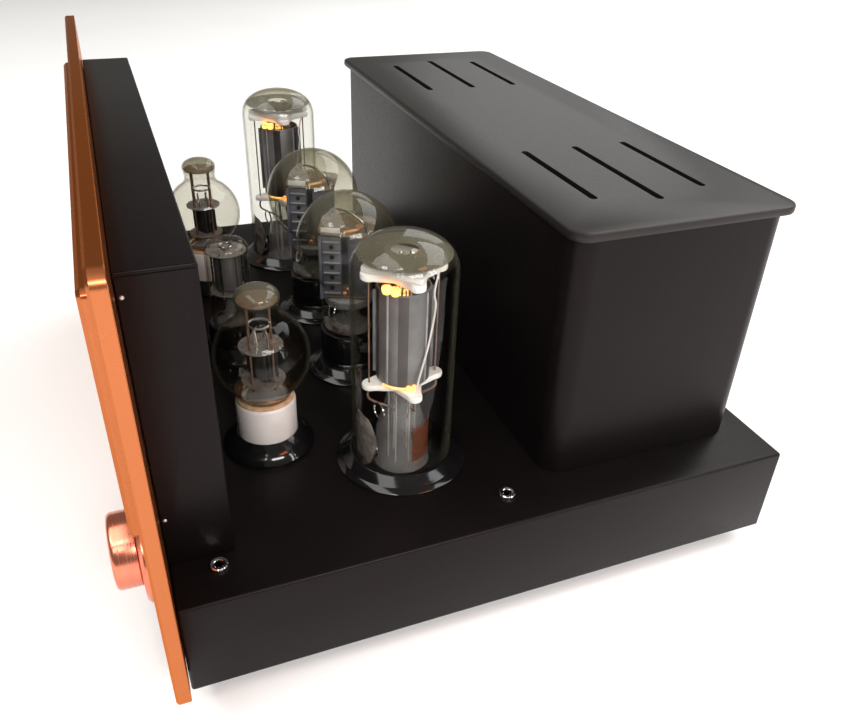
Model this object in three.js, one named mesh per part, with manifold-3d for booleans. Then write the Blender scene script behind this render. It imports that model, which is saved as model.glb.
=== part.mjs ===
// A valve amplifier: steel chassis, thick anodised front panel with two meters, seven plug-in
// valves in a row of sockets and a tall transformer cover at the back.
//
// Units are millimetres. +X is to the right seen from the front, +Y runs from the front panel
// to the back and +Z is up. While it is built, y = 0 is the back face of the front panel. The
// finished group is moved so that the origin is at floor level in the middle of the footprint.

import * as THREE from 'three';
import { mergeVertices } from 'three/addons/utils/BufferGeometryUtils.js';
import Module from 'manifold-3d';

const wasm = await Module();
wasm.setup();

// ---------------------------------------------------------------- driving dimensions

const GAP = 0.3; // between pieces that touch
const SHEET = 1.6; // folded steel
const ROUND = 16; // facets round a turned piece
const FINE = 24; // facets round the knobs and their bezels
const SIDES = [['left', -1], ['right', 1]];

const FOOT = { radius: 22, height: 12, inset: 45 };
const CHASSIS = { width: 445, depth: 356, height: 58.5 };
const FLOOR = FOOT.height; // underside of the chassis
const DECK = FOOT.height + CHASSIS.height; // top of the chassis

const PANEL = { width: 483, thickness: 7, bottom: FLOOR + 13.5, top: FLOOR + 242, corner: 7, chamfer: 1 };
const SURROUND = {
  width: 397, bottom: FLOOR + 86, top: FLOOR + 215.5, depth: 6.2, bevel: 1.8, corner: 4, windowLip: 5,
};
const HOUSING = { width: 383, depth: 33, top: FLOOR + 218 };
const CONTROL_WELL = { halfWidth: 186, margin: 8 }; // opening from the chassis up into the housing

const METER = { x: 92, z: FLOOR + 152, width: 122, height: 76, backY: 24, frontY: -7, wall: 1.6, dialY: 0.5 };
const NEEDLE = { pivotDrop: 29, length: 50, tail: 6, width: 1.1, rest: 45, hub: 3.6, standOff: 3 };

const KNOB = { x: 168, z: FLOOR + 54, radius: 20, front: 18.8, back: 5.8, chamfer: 2, wall: 4 };
const BEZEL = { radius: 29.5, depth: 5.2, bevel: 1.6 };
const SHAFT = { radius: 3, hole: 3.5, stop: 2, bush: 4.9, bushHole: 5.5 };
const POT = { radius: 12.5, depth: 14 };
const SWITCH = { radius: 15, depth: 18 };
const BUTTON = { z: KNOB.z, radius: 8, front: 5, travel: 3, plunger: 6, body: 16, bodyDepth: 13 };

const COVER = { width: 386.6, front: 209, back: 339.4, top: FLOOR + 203.4, corner: 13 };
const LID = { width: 393.4, front: 205.5, back: 342.9, thickness: 5.3, corner: 10, edge: 1.2 };
const SLOT = { width: 4.6, pitch: 34.5, inner: 75, outer: 157, middleOuter: 167 };

// The valves. Heights are measured from the deck; the base goes down into its socket.
const REAR_ROW_Y = 138;
const FRONT_ROW_Y = 67.7;
const POWER = {
  x: 146.7, y: REAR_ROW_Y, seat: 28.7, collar: 7.3, glass: 28.4, top: 139.7, base: 25, baseDepth: 38,
};
const DRIVER = {
  x: 43.1, y: REAR_ROW_Y, seat: 19.5, collar: 6.4, ball: 32.1, ballZ: 91.7, neck: 16.6,
  base: 19.2, baseTop: 31, baseDepth: 20,
};
const INPUT = {
  x: 108.9, y: FRONT_ROW_Y, seat: 17.6, collar: 10, ball: 27.4, ballZ: 60.7, neck: 11.4, dome: 12.3, top: 103,
  base: 17.3, baseTop: 32.4, baseDepth: 8,
};
const MIDDLE = {
  x: 0, y: FRONT_ROW_Y, seat: 17.3, collar: 10, glass: 14.4, top: 84, base: 17, baseTop: 24, baseDepth: 8,
};
const GLASS = 1.2; // wall of every glass envelope
const SOCKET = { wall: 3, floor: 3, flange: 9.2, edge: 1.2, bevelFoot: 2.8, lip: 1 };

const CAGE = { x: 200, y: [23.5, 181.6], radius: 4.6, hole: 2.35, wall: 1, depth: 8, height: 1.6 };
const VENT = { width: 5, length: 60, pitch: 20, rows: [95, 250] };
const TRANSFORMERS = [
  { name: 'mains_transformer', x: 0, width: 104, depth: 104, height: 96 },
  { name: 'output_transformer_left', x: -130, width: 84, depth: 92, height: 84 },
  { name: 'output_transformer_right', x: 130, width: 84, depth: 92, height: 84 },
];
const BOARD = { width: 220, front: 205, back: 325, thickness: 1.6, z: FLOOR + 8 };
const CAPACITOR = { radius: 16, height: 40, y: 262, x: [-75, -25, 25, 75] };

const REAR = { z: FLOOR + CHASSIS.height / 2, reach: 20, plate: 2.4, lip: 4 };
const INLET = { width: 30, height: 21, depth: 24, cavityWidth: 24.8, cavityHeight: 16.4, cavityDepth: 16 };
const POST = { pitch: 24, radius: 6.5, hole: 2.1, holeDepth: 14, stud: 3.5, studDepth: 18 };
const JACK = { pitchX: 28, pitchZ: 18, radius: 4.2, reach: 8, hole: 1.7, stud: 3.4, studDepth: 12 };
const FRONT_REACH = PANEL.thickness + KNOB.front;
const BACK_REACH = CHASSIS.depth + REAR.reach;

// ---------------------------------------------------------------- materials

const PAINT = { color: 0x0b0a0b, roughness: 0.38, metalness: 0.1 };
const COPPER = { color: 0xc8703c, roughness: 0.32, metalness: 0.9 };
const KNOB_COPPER = { color: 0xc05a3a, roughness: 0.22, metalness: 0.95 };
const GLASS_LOOK = { color: 0xb9beb0, roughness: 0.05, metalness: 0, transparent: true, opacity: 0.35 };
const PLATE_GREY = { color: 0x77787b, roughness: 0.45, metalness: 0.6 };
const CERAMIC = { color: 0xf1ece4, roughness: 0.4, metalness: 0 };
const BAKELITE = { color: 0x0c0b0d, roughness: 0.15, metalness: 0 };
const CHROME = { color: 0xd0d0d0, roughness: 0.12, metalness: 1 };
const RUBBER = { color: 0x151515, roughness: 0.8, metalness: 0 };
const IRON = { color: 0x3a3c40, roughness: 0.5, metalness: 0.8 };
const LAMINATE = { color: 0x1f4a2c, roughness: 0.6, metalness: 0 };
const DIAL = { color: 0xe8dfc6, roughness: 0.7, metalness: 0 };
const PLASTIC = { color: 0x101012, roughness: 0.45, metalness: 0 };

// ---------------------------------------------------------------- solids

/** Turns a closed geometry into a solid that can be joined and cut. */
function solid(geometry) {
  const bare = geometry.clone();
  bare.deleteAttribute('normal');
  bare.deleteAttribute('uv');
  const merged = mergeVertices(bare, 1e-4);
  return new wasm.Manifold(new wasm.Mesh({
    numProp: 3,
    vertProperties: new Float32Array(merged.attributes.position.array),
    triVerts: new Uint32Array(merged.index.array),
  }));
}

/** Turns a solid back into a geometry. */
function geometryOf(body) {
  const mesh = body.getMesh();
  const geometry = new THREE.BufferGeometry();
  geometry.setAttribute('position', new THREE.BufferAttribute(new Float32Array(mesh.vertProperties), 3));
  geometry.setIndex(new THREE.BufferAttribute(new Uint32Array(mesh.triVerts), 1));
  return geometry;
}

function join(...bodies) {
  return bodies.reduce((whole, body) => whole.add(body));
}

function cut(body, ...tools) {
  return tools.reduce((rest, tool) => rest.subtract(tool), body);
}

/** A box between two corners. */
function block([x0, y0, z0], [x1, y1, z1]) {
  const geometry = new THREE.BoxGeometry(x1 - x0, y1 - y0, z1 - z0);
  geometry.translate((x0 + x1) / 2, (y0 + y1) / 2, (z0 + z1) / 2);
  return solid(geometry);
}

/** A round body about a vertical axis at (x, y). The profile holds [radius, z] pairs, upwards. */
function turned(profile, x, y, segments = ROUND) {
  const points = profile.map(([radius, z]) => new THREE.Vector2(radius, z));
  const geometry = new THREE.LatheGeometry(points, segments);
  geometry.rotateX(Math.PI / 2);
  geometry.translate(x, y, 0);
  return solid(geometry);
}

/** A round body about an axis along Y at (x, z). The profile holds [radius, y] pairs, backwards. */
function turnedAlongY(profile, x, z, segments = ROUND) {
  const points = profile.map(([radius, y]) => new THREE.Vector2(radius, y));
  const geometry = new THREE.LatheGeometry(points, segments);
  geometry.translate(x, 0, z);
  return solid(geometry);
}

function cylinder(radius, z0, z1, x, y, segments) {
  return turned([[0, z0], [radius, z0], [radius, z1], [0, z1]], x, y, segments);
}

function cylinderAlongY(radius, y0, y1, x, z, segments) {
  return turnedAlongY([[0, y0], [radius, y0], [radius, y1], [0, y1]], x, z, segments);
}

/** The outline of a rectangle with round corners, centred on (0, 0). */
function roundedRectangle(width, height, radius) {
  const shape = new THREE.Shape();
  const [w, h] = [width / 2 - radius, height / 2 - radius];
  shape.absarc(w, h, radius, 0, Math.PI / 2);
  shape.absarc(-w, h, radius, Math.PI / 2, Math.PI);
  shape.absarc(-w, -h, radius, Math.PI, Math.PI * 1.5);
  shape.absarc(w, -h, radius, Math.PI * 1.5, Math.PI * 2);
  shape.closePath();
  return shape;
}

/** A flat plate with round corners that lies level, from z0 to z1, centred on (x, y). */
function levelPlate(width, depth, radius, z0, z1, x, y, bevel = 0, curveSegments = 4) {
  const outline = roundedRectangle(width - 2 * bevel, depth - 2 * bevel, radius);
  const geometry = new THREE.ExtrudeGeometry(outline, {
    depth: z1 - z0 - 2 * bevel,
    bevelEnabled: bevel > 0,
    bevelSize: bevel,
    bevelThickness: bevel,
    bevelSegments: 1,
    curveSegments,
  });
  geometry.translate(x, y, z0 + bevel);
  return solid(geometry);
}

/** A plate with round corners that stands upright, from y0 to y1; only its front edge is bevelled. */
function uprightPlate(width, bottom, top, radius, y0, y1, bevel = 0) {
  const outline = roundedRectangle(width - 2 * bevel, top - bottom - 2 * bevel, radius);
  const geometry = new THREE.ExtrudeGeometry(outline, {
    depth: y1 - y0,
    bevelEnabled: bevel > 0,
    bevelSize: bevel,
    bevelThickness: bevel,
    bevelSegments: 1,
    curveSegments: 4,
  });
  geometry.rotateX(Math.PI / 2);
  geometry.translate(0, y1 + bevel, (bottom + top) / 2);
  const plate = solid(geometry);
  const half = width / 2 + 1;
  return plate.intersect(block([-half, y0, bottom - 1], [half, y1, top + 1]));
}

// ---------------------------------------------------------------- the assembly

const amplifier = new THREE.Group();

/** Adds one piece to the assembly as a named mesh. */
function addPiece(name, body, look) {
  const mesh = new THREE.Mesh(geometryOf(body), new THREE.MeshStandardMaterial(look));
  mesh.name = name;
  amplifier.add(mesh);
}

// ---------------------------------------------------------------- chassis and casework

/** Where each valve stands, with the radius of the hole that its socket passes through. */
function socketPlaces() {
  const places = [{ x: MIDDLE.x, y: MIDDLE.y, hole: MIDDLE.seat + SOCKET.wall + 2 * GAP }];
  for (const valve of [POWER, DRIVER, INPUT]) {
    for (const [, side] of SIDES) {
      places.push({ x: side * valve.x, y: valve.y, hole: valve.seat + SOCKET.wall + 2 * GAP });
    }
  }
  return places;
}

/** Upright cutters that pass through the deck. */
function deckHole(radius, x, y, segments) {
  return cylinder(radius, DECK - 5, DECK + 1, x, y, segments);
}

function chassisShell() {
  const half = CHASSIS.width / 2;
  const outer = block([-half, GAP, FLOOR], [half, CHASSIS.depth, DECK]);
  const inside = block(
    [-half + SHEET, GAP + SHEET, FLOOR - 1],
    [half - SHEET, CHASSIS.depth - SHEET, DECK - SHEET],
  );
  const controlWell = block(
    [-CONTROL_WELL.halfWidth, GAP + SHEET, DECK - 5],
    [CONTROL_WELL.halfWidth, HOUSING.depth - CONTROL_WELL.margin, DECK + 1],
  );
  const socketHoles = socketPlaces().map(({ x, y, hole }) => deckHole(hole, x, y));
  const cageHoles = SIDES.flatMap(([, side]) => CAGE.y.map(
    (y) => deckHole(CAGE.hole + CAGE.wall + 0.4, side * CAGE.x, y, 8),
  ));
  const shaftHoles = SIDES.map(
    ([, side]) => cylinderAlongY(SHAFT.bushHole, -1, 5, side * KNOB.x, KNOB.z, 12),
  );
  const buttonHole = cylinderAlongY(BUTTON.radius + 1, -1, 5, 0, BUTTON.z);
  const rearHoles = rearParts().map(({ x, width, height }) => block(
    [x - width / 2 + REAR.lip, CHASSIS.depth - 5, REAR.z - height / 2 + REAR.lip],
    [x + width / 2 - REAR.lip, CHASSIS.depth + 1, REAR.z + height / 2 - REAR.lip],
  ));
  return cut(
    outer, inside, controlWell, ...socketHoles, ...cageHoles, ...shaftHoles, buttonHole, ...rearHoles,
  );
}

/** The sheet that closes the chassis from below, with two rows of slots for cooling. */
function bottomPlate() {
  const half = CHASSIS.width / 2 - SHEET - GAP;
  const front = GAP + SHEET + GAP;
  const back = CHASSIS.depth - SHEET - GAP;
  const plate = block([-half, front, FLOOR + GAP], [half, back, FLOOR + GAP + SHEET]);
  const vents = [];
  for (const y of VENT.rows) {
    for (let i = -2; i <= 2; i += 1) {
      const x = i * VENT.pitch;
      vents.push(block(
        [x - VENT.width / 2, y - VENT.length / 2, FLOOR - 1],
        [x + VENT.width / 2, y + VENT.length / 2, FLOOR + 5],
      ));
    }
  }
  return cut(plate, ...vents);
}

function foot(x, y) {
  return turned(
    [[0, 0], [FOOT.radius - 3, 0], [FOOT.radius, 3], [FOOT.radius, FOOT.height - 1.5],
      [FOOT.radius - 2, FOOT.height], [0, FOOT.height]],
    x, y,
  );
}

function meterOpenings(y0, y1, margin) {
  return SIDES.map(([, side]) => block(
    [side * METER.x - METER.width / 2 - margin, y0, METER.z - METER.height / 2 - margin],
    [side * METER.x + METER.width / 2 + margin, y1, METER.z + METER.height / 2 + margin],
  ));
}

function frontPanel() {
  const plate = uprightPlate(
    PANEL.width, PANEL.bottom, PANEL.top, PANEL.corner - PANEL.chamfer, -PANEL.thickness, 0, PANEL.chamfer,
  );
  const front = -PANEL.thickness - 1;
  const shaftHoles = SIDES.map(
    ([, side]) => cylinderAlongY(SHAFT.bushHole, front, 1, side * KNOB.x, KNOB.z, 12),
  );
  const buttonHole = cylinderAlongY(BUTTON.radius + 0.6, front, 1, 0, BUTTON.z);
  return cut(plate, ...meterOpenings(front, 1, GAP), ...shaftHoles, buttonHole);
}

/** The raised plate that frames the meters. Its windows are smaller than the meter cases. */
function meterSurround() {
  const back = -PANEL.thickness - GAP;
  const plate = uprightPlate(
    SURROUND.width, SURROUND.bottom, SURROUND.top, SURROUND.corner - SURROUND.bevel,
    back - SURROUND.depth, back, SURROUND.bevel,
  );
  return cut(plate, ...meterOpenings(back - SURROUND.depth - 1, back + 1, -SURROUND.windowLip));
}

function controlHousing() {
  const half = HOUSING.width / 2;
  const outer = block([-half, GAP, DECK + GAP], [half, HOUSING.depth, HOUSING.top]);
  const inside = block(
    [-half + SHEET, -1, DECK - 1],
    [half - SHEET, HOUSING.depth - SHEET, HOUSING.top - SHEET],
  );
  return cut(outer, inside);
}

function transformerCover() {
  const depth = COVER.back - COVER.front;
  const y = (COVER.front + COVER.back) / 2;
  const outer = levelPlate(COVER.width, depth, COVER.corner, DECK + GAP, COVER.top, 0, y);
  const inside = levelPlate(
    COVER.width - 2 * SHEET, depth - 2 * SHEET, COVER.corner - SHEET, DECK - 1, COVER.top + 1, 0, y,
  );
  return cut(outer, inside);
}

function coverTop() {
  const y = (LID.front + LID.back) / 2;
  const bottom = COVER.top + GAP;
  const top = bottom + LID.thickness;
  const plate = levelPlate(LID.width, LID.back - LID.front, LID.corner, bottom, top, 0, y, LID.edge);
  const slots = [];
  for (const [, side] of SIDES) {
    for (const row of [-1, 0, 1]) {
      const outer = row === 0 ? SLOT.middleOuter : SLOT.outer;
      const length = outer - SLOT.inner;
      const x = side * (SLOT.inner + outer) / 2;
      const slotY = y + row * SLOT.pitch;
      const corner = SLOT.width / 2 - 0.1;
      slots.push(levelPlate(length, SLOT.width, corner, bottom - 1, top + 1, x, slotY, 0, 2));
    }
  }
  return cut(plate, ...slots);
}

/** A chromed ring let into the deck, which takes one pin of the optional valve guard. */
function cageSocket(x, y) {
  const foot = DECK - CAGE.depth;
  const rimFoot = DECK + GAP;
  const rimTop = rimFoot + CAGE.height;
  const barrel = CAGE.hole + CAGE.wall;
  const edge = 0.4;
  return turned([
    [CAGE.hole, foot], [barrel, foot], [barrel, rimFoot], [CAGE.radius, rimFoot],
    [CAGE.radius, rimTop - edge], [CAGE.radius - edge, rimTop], [CAGE.hole, rimTop], [CAGE.hole, foot],
  ], x, y, 12);
}

addPiece('chassis_shell', chassisShell(), PAINT);
addPiece('bottom_plate', bottomPlate(), PAINT);
addPiece('front_panel', frontPanel(), COPPER);
addPiece('meter_surround', meterSurround(), COPPER);
addPiece('control_housing', controlHousing(), PAINT);
addPiece('transformer_cover', transformerCover(), PAINT);
addPiece('cover_top', coverTop(), PAINT);
for (const [name, side] of SIDES) {
  const x = side * (CHASSIS.width / 2 - FOOT.inset);
  addPiece(`foot_front_${name}`, foot(x, FOOT.inset), RUBBER);
  addPiece(`foot_rear_${name}`, foot(x, CHASSIS.depth - FOOT.inset), RUBBER);
  addPiece(`cage_socket_front_${name}`, cageSocket(side * CAGE.x, CAGE.y[0]), CHROME);
  addPiece(`cage_socket_rear_${name}`, cageSocket(side * CAGE.x, CAGE.y[1]), CHROME);
}

// ---------------------------------------------------------------- meters

/** A shallow case, open at the front, whose floor is the dial. */
function meterCase(x) {
  const [w, h] = [METER.width / 2, METER.height / 2];
  const outer = block([x - w, METER.frontY + GAP, METER.z - h], [x + w, METER.backY, METER.z + h]);
  const tray = block(
    [x - w + METER.wall, METER.frontY - 1, METER.z - h + METER.wall],
    [x + w - METER.wall, METER.dialY, METER.z + h - METER.wall],
  );
  return cut(outer, tray);
}

/** The pointer, its hub and its short balance tail, resting at the left end of the scale. */
function meterNeedle(x) {
  const back = METER.dialY - GAP;
  const front = METER.dialY - NEEDLE.standOff;
  const pivotZ = METER.z - NEEDLE.pivotDrop;
  const pointer = new THREE.BoxGeometry(NEEDLE.width, 1, NEEDLE.length + NEEDLE.tail);
  pointer.translate(0, front + 0.5, (NEEDLE.length - NEEDLE.tail) / 2);
  pointer.rotateY(THREE.MathUtils.degToRad(-NEEDLE.rest));
  pointer.translate(x, 0, pivotZ);
  return join(cylinderAlongY(NEEDLE.hub, front, back, x, pivotZ), solid(pointer));
}

for (const [name, side] of SIDES) {
  addPiece(`meter_case_${name}`, meterCase(side * METER.x), DIAL);
  addPiece(`meter_needle_${name}`, meterNeedle(side * METER.x), PLASTIC);
}

// ---------------------------------------------------------------- controls

/** A turned knob with a blind bore for its shaft. */
function knob(x) {
  const front = -PANEL.thickness - KNOB.front;
  const back = -PANEL.thickness - KNOB.back;
  const rim = KNOB.radius - KNOB.chamfer;
  const body = turnedAlongY(
    [[0, front], [rim, front], [KNOB.radius, front + KNOB.chamfer], [KNOB.radius, back], [0, back]],
    x, KNOB.z, FINE,
  );
  return cut(body, cylinderAlongY(SHAFT.hole, front + KNOB.wall, back + 1, x, KNOB.z));
}

/** The round plate behind a knob, as thick as the meter surround. */
function knobBezel(x) {
  const back = -PANEL.thickness - GAP;
  const front = -PANEL.thickness - BEZEL.depth;
  const rim = BEZEL.radius - BEZEL.bevel;
  const body = turnedAlongY(
    [[0, front], [rim, front], [BEZEL.radius, front + BEZEL.bevel], [BEZEL.radius, back], [0, back]],
    x, KNOB.z, FINE,
  );
  return cut(body, cylinderAlongY(SHAFT.hole + 1, front - 1, back + 1, x, KNOB.z));
}

/** The can of a rotary control, behind the chassis wall, with a threaded bush through it. */
function controlBody(x, radius, depth) {
  const front = GAP + SHEET + GAP;
  const bush = cylinderAlongY(SHAFT.bush, 1 - PANEL.thickness, front + 1, x, KNOB.z, 12);
  const body = join(cylinderAlongY(radius, front, front + depth, x, KNOB.z), bush);
  const bore = cylinderAlongY(SHAFT.hole, -PANEL.thickness, front + depth - SHAFT.stop, x, KNOB.z, 12);
  return cut(body, bore);
}

function shaft(x, depth) {
  const front = -PANEL.thickness - KNOB.front + KNOB.wall + GAP;
  const back = GAP + SHEET + depth - SHAFT.stop;
  return cylinderAlongY(SHAFT.radius, front, back, x, KNOB.z, 12);
}

function powerButton() {
  const front = -PANEL.thickness - BUTTON.front;
  return turnedAlongY(
    [[0, front], [BUTTON.radius - 1, front], [BUTTON.radius, front + 1], [BUTTON.radius, 2], [3, 2],
      [3, BUTTON.plunger], [0, BUTTON.plunger]],
    0, BUTTON.z,
  );
}

function powerSwitchBody() {
  const front = BUTTON.plunger + BUTTON.travel + GAP;
  const half = BUTTON.body / 2;
  return block([-half, front, BUTTON.z - half], [half, front + BUTTON.bodyDepth, BUTTON.z + half]);
}

addPiece('volume_knob', knob(KNOB.x), KNOB_COPPER);
addPiece('volume_bezel', knobBezel(KNOB.x), COPPER);
addPiece('volume_pot_body', controlBody(KNOB.x, POT.radius, POT.depth), CHROME);
addPiece('volume_shaft', shaft(KNOB.x, POT.depth), CHROME);
addPiece('selector_knob', knob(-KNOB.x), KNOB_COPPER);
addPiece('selector_bezel', knobBezel(-KNOB.x), COPPER);
addPiece('selector_switch_body', controlBody(-KNOB.x, SWITCH.radius, SWITCH.depth), PLASTIC);
addPiece('selector_shaft', shaft(-KNOB.x, SWITCH.depth), CHROME);
addPiece('power_button', powerButton(), KNOB_COPPER);
addPiece('power_switch_body', powerSwitchBody(), PLASTIC);

// ---------------------------------------------------------------- valves and their sockets

/** A round stretch of a profile: points on a circle about (0, centre), between two angles in degrees. */
function arc(radius, centre, from, to, steps) {
  const points = [];
  for (let i = 0; i <= steps; i += 1) {
    const angle = THREE.MathUtils.degToRad(from + (to - from) * i / steps);
    points.push([radius * Math.cos(angle), centre + radius * Math.sin(angle)]);
  }
  return points;
}

/** A flat dome: a quarter of a squared-off oval that ends on the axis. */
function dome(radius, shoulder, top, steps) {
  const squareness = 2.3;
  const points = [];
  for (let i = 0; i <= steps; i += 1) {
    const angle = Math.PI / 2 * i / steps;
    const r = i === steps ? 0 : radius * Math.cos(angle) ** (2 / squareness);
    points.push([r, shoulder + (top - shoulder) * Math.sin(angle) ** (2 / squareness)]);
  }
  return points;
}

/** A glass envelope with an open foot. The outline runs up from the foot to the axis. */
function envelope(outline, x, y) {
  const inner = outline.map(([r, z], i) => {
    const onAxis = i === outline.length - 1;
    return [onAxis ? 0 : r - GLASS, i === 0 ? z : z - (onAxis ? GLASS : GLASS / 2)];
  }).reverse();
  const profile = [...inner, ...outline].map(([r, z]) => [r, DECK + z]);
  // The inner wall runs down and the outer wall up, so the loop is closed at the foot.
  return turned(profile, x, y);
}

/** A socket: a barrel below the deck and a bevelled collar above it. */
function socket({ seat, collar, baseDepth, y }, x) {
  const barrel = seat + SOCKET.wall;
  const lip = seat + SOCKET.lip;
  const flange = seat + SOCKET.flange;
  const bevelFoot = lip + collar - SOCKET.bevelFoot;
  const seatFloor = DECK - baseDepth - GAP;
  return turned([
    [0, seatFloor - SOCKET.floor], [barrel, seatFloor - SOCKET.floor], [barrel, DECK + GAP],
    [flange, DECK + GAP], [flange, DECK + SOCKET.edge], [bevelFoot, DECK + SOCKET.bevelFoot],
    [lip, DECK + collar], [seat, DECK + collar], [seat, seatFloor], [0, seatFloor],
  ], x, y);
}

function powerTube(x) {
  const glassFoot = 0.5;
  const shoulder = POWER.top - 21;
  const outline = [[POWER.glass, glassFoot], [POWER.glass, 60], ...dome(POWER.glass, shoulder, POWER.top, 4)];
  const mount = [
    [0, -POWER.baseDepth], [POWER.base, -POWER.baseDepth], [POWER.base, 0], [11, 0], [9, 20], [9, 52],
    [21, 54], [21, 58], [14.5, 58], [14.5, 114], [21, 114], [21, 119], [6, 119], [6, 124], [0, 124],
  ].map(([r, z]) => [r, DECK + z]);
  return { glass: envelope(outline, x, POWER.y), mount: turned(mount, x, POWER.y) };
}

function driverTube(x) {
  const { ball, ballZ, neck, base, baseTop, baseDepth } = DRIVER;
  const outline = [[neck, baseTop + GAP], [neck + 0.6, baseTop + 10], ...arc(ball, ballZ, -50, 90, 6)];
  outline[outline.length - 1][0] = 0;
  const mount = [
    [0, baseTop + GAP], [12, baseTop + GAP], [10, baseTop + 14], [15, 50], [18, 58], [12, 62], [12, 100],
    [4, 100], [4, 110], [0, 110],
  ].map(([r, z]) => [r, DECK + z]);
  const foot = turned([
    [0, -baseDepth], [base, -baseDepth], [base, baseTop - 1], [base - 1, baseTop], [0, baseTop],
  ].map(([r, z]) => [r, DECK + z]), x, DRIVER.y);
  return { glass: envelope(outline, x, DRIVER.y), mount: turned(mount, x, DRIVER.y, 12), foot };
}

function inputTube(x) {
  const { ball, ballZ, neck, dome: cap, top, base, baseTop, baseDepth } = INPUT;
  const outline = [
    [base - 2.2, baseTop + GAP], ...arc(ball, ballZ, -52, 62, 4), [neck, 91], ...dome(cap, 96, top, 2),
  ];
  const foot = turned([
    [0, -baseDepth], [base, -baseDepth], [base, baseTop], [base - 3.6, baseTop], [9, 38], [11.5, 44],
    [11.5, 45], [5.5, 45], [5.5, 66], [12, 66], [12, 67], [3, 67], [3, 72], [0, 72],
  ].map(([r, z]) => [r, DECK + z]), x, INPUT.y);
  return { glass: envelope(outline, x, INPUT.y), foot };
}

function middleTube() {
  const { glass, top, base, baseTop, baseDepth, x, y } = MIDDLE;
  const outline = [[glass, baseTop + GAP], [glass, 60], ...dome(glass, top - 9, top, 4)];
  const foot = turned([
    [0, -baseDepth], [base, -baseDepth], [base, baseTop - 1], [base - 1, baseTop],
    [12, baseTop], [5, baseTop + 6], [5, 48], [12, 48], [12, 50], [8.9, 50], [8.9, 74],
    [12.2, 74], [12.2, 75.5], [0, 75.5],
  ].map(([r, z]) => [r, DECK + z]), x, y);
  return { glass: envelope(outline, x, y), foot };
}

for (const [name, side] of SIDES) {
  const power = powerTube(side * POWER.x);
  addPiece(`power_tube_glass_${name}`, power.glass, GLASS_LOOK);
  addPiece(`power_tube_electrodes_${name}`, power.mount, PLATE_GREY);
  addPiece(`power_tube_socket_${name}`, socket(POWER, side * POWER.x), BAKELITE);

  const driver = driverTube(side * DRIVER.x);
  addPiece(`driver_tube_glass_${name}`, driver.glass, GLASS_LOOK);
  addPiece(`driver_tube_electrodes_${name}`, driver.mount, PLATE_GREY);
  addPiece(`driver_tube_base_${name}`, driver.foot, BAKELITE);
  addPiece(`driver_tube_socket_${name}`, socket(DRIVER, side * DRIVER.x), BAKELITE);

  const input = inputTube(side * INPUT.x);
  addPiece(`input_tube_glass_${name}`, input.glass, GLASS_LOOK);
  addPiece(`input_tube_base_${name}`, input.foot, CERAMIC);
  addPiece(`input_tube_socket_${name}`, socket(INPUT, side * INPUT.x), BAKELITE);
}
const middle = middleTube();
addPiece('middle_tube_glass', middle.glass, GLASS_LOOK);
addPiece('middle_tube_base', middle.foot, BAKELITE);
addPiece('middle_tube_socket', socket(MIDDLE, MIDDLE.x), BAKELITE);

// ---------------------------------------------------------------- transformers and electronics

/** A transformer standing on the deck: a stack of laminations with a winding through it. */
function transformer({ x, width, depth, height }) {
  const y = (COVER.front + COVER.back) / 2;
  const z = DECK + GAP;
  const stack = depth * 0.55;
  const footLip = 8;
  const footThickness = 3;
  const core = block([x - width / 2, y - stack / 2, z], [x + width / 2, y + stack / 2, z + height]);
  const winding = levelPlate(width * 0.62, depth, 8, z + height * 0.18, z + height * 0.82, x, y);
  const flange = block(
    [x - width / 2 - footLip, y - stack / 2, z],
    [x + width / 2 + footLip, y + stack / 2, z + footThickness],
  );
  return join(core, winding, flange);
}

/** The supply board on the chassis floor, with its four tall capacitors. */
function circuitBoard() {
  const { width, front, back, thickness, z } = BOARD;
  const board = block([-width / 2, front, z], [width / 2, back, z + thickness]);
  const capacitors = CAPACITOR.x.map(
    (x) => cylinder(CAPACITOR.radius, z + 1, z + CAPACITOR.height, x, CAPACITOR.y),
  );
  return join(board, ...capacitors);
}

for (const part of TRANSFORMERS) {
  addPiece(part.name, transformer(part), IRON);
}
addPiece('circuit_board', circuitBoard(), LAMINATE);

// ---------------------------------------------------------------- back panel

/** The plates on the back wall: how wide and how tall each is and where its centre is. */
function rearParts() {
  return [
    { name: 'mains_inlet', x: -178, width: 50, height: 30 },
    { name: 'speaker_terminals_left', x: -98, width: 74, height: 26 },
    { name: 'speaker_terminals_right', x: 98, width: 74, height: 26 },
    { name: 'input_jacks', x: 0, width: 92, height: 42 },
  ];
}

const REAR_PLATE = { front: CHASSIS.depth + GAP, back: CHASSIS.depth + GAP + REAR.plate };

function rearPlate({ x, width, height }) {
  return block(
    [x - width / 2, REAR_PLATE.front, REAR.z - height / 2],
    [x + width / 2, REAR_PLATE.back, REAR.z + height / 2],
  );
}

/** A block centred on (x, REAR.z) that runs back from y0 to y1. */
function rearBlock(x, width, height, y0, y1) {
  return block([x - width / 2, y0, REAR.z - height / 2], [x + width / 2, y1, REAR.z + height / 2]);
}

/** A moulded box behind its flange, open at the back for the mains lead's connector. */
function mainsInlet(part) {
  const bodyFront = CHASSIS.depth - INLET.depth;
  const body = rearBlock(part.x, INLET.width, INLET.height, bodyFront, REAR_PLATE.front + 1);
  const opening = rearBlock(
    part.x, INLET.cavityWidth, INLET.cavityHeight, CHASSIS.depth - INLET.cavityDepth, REAR_PLATE.back + 1,
  );
  return cut(join(rearPlate(part), body), opening);
}

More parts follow.
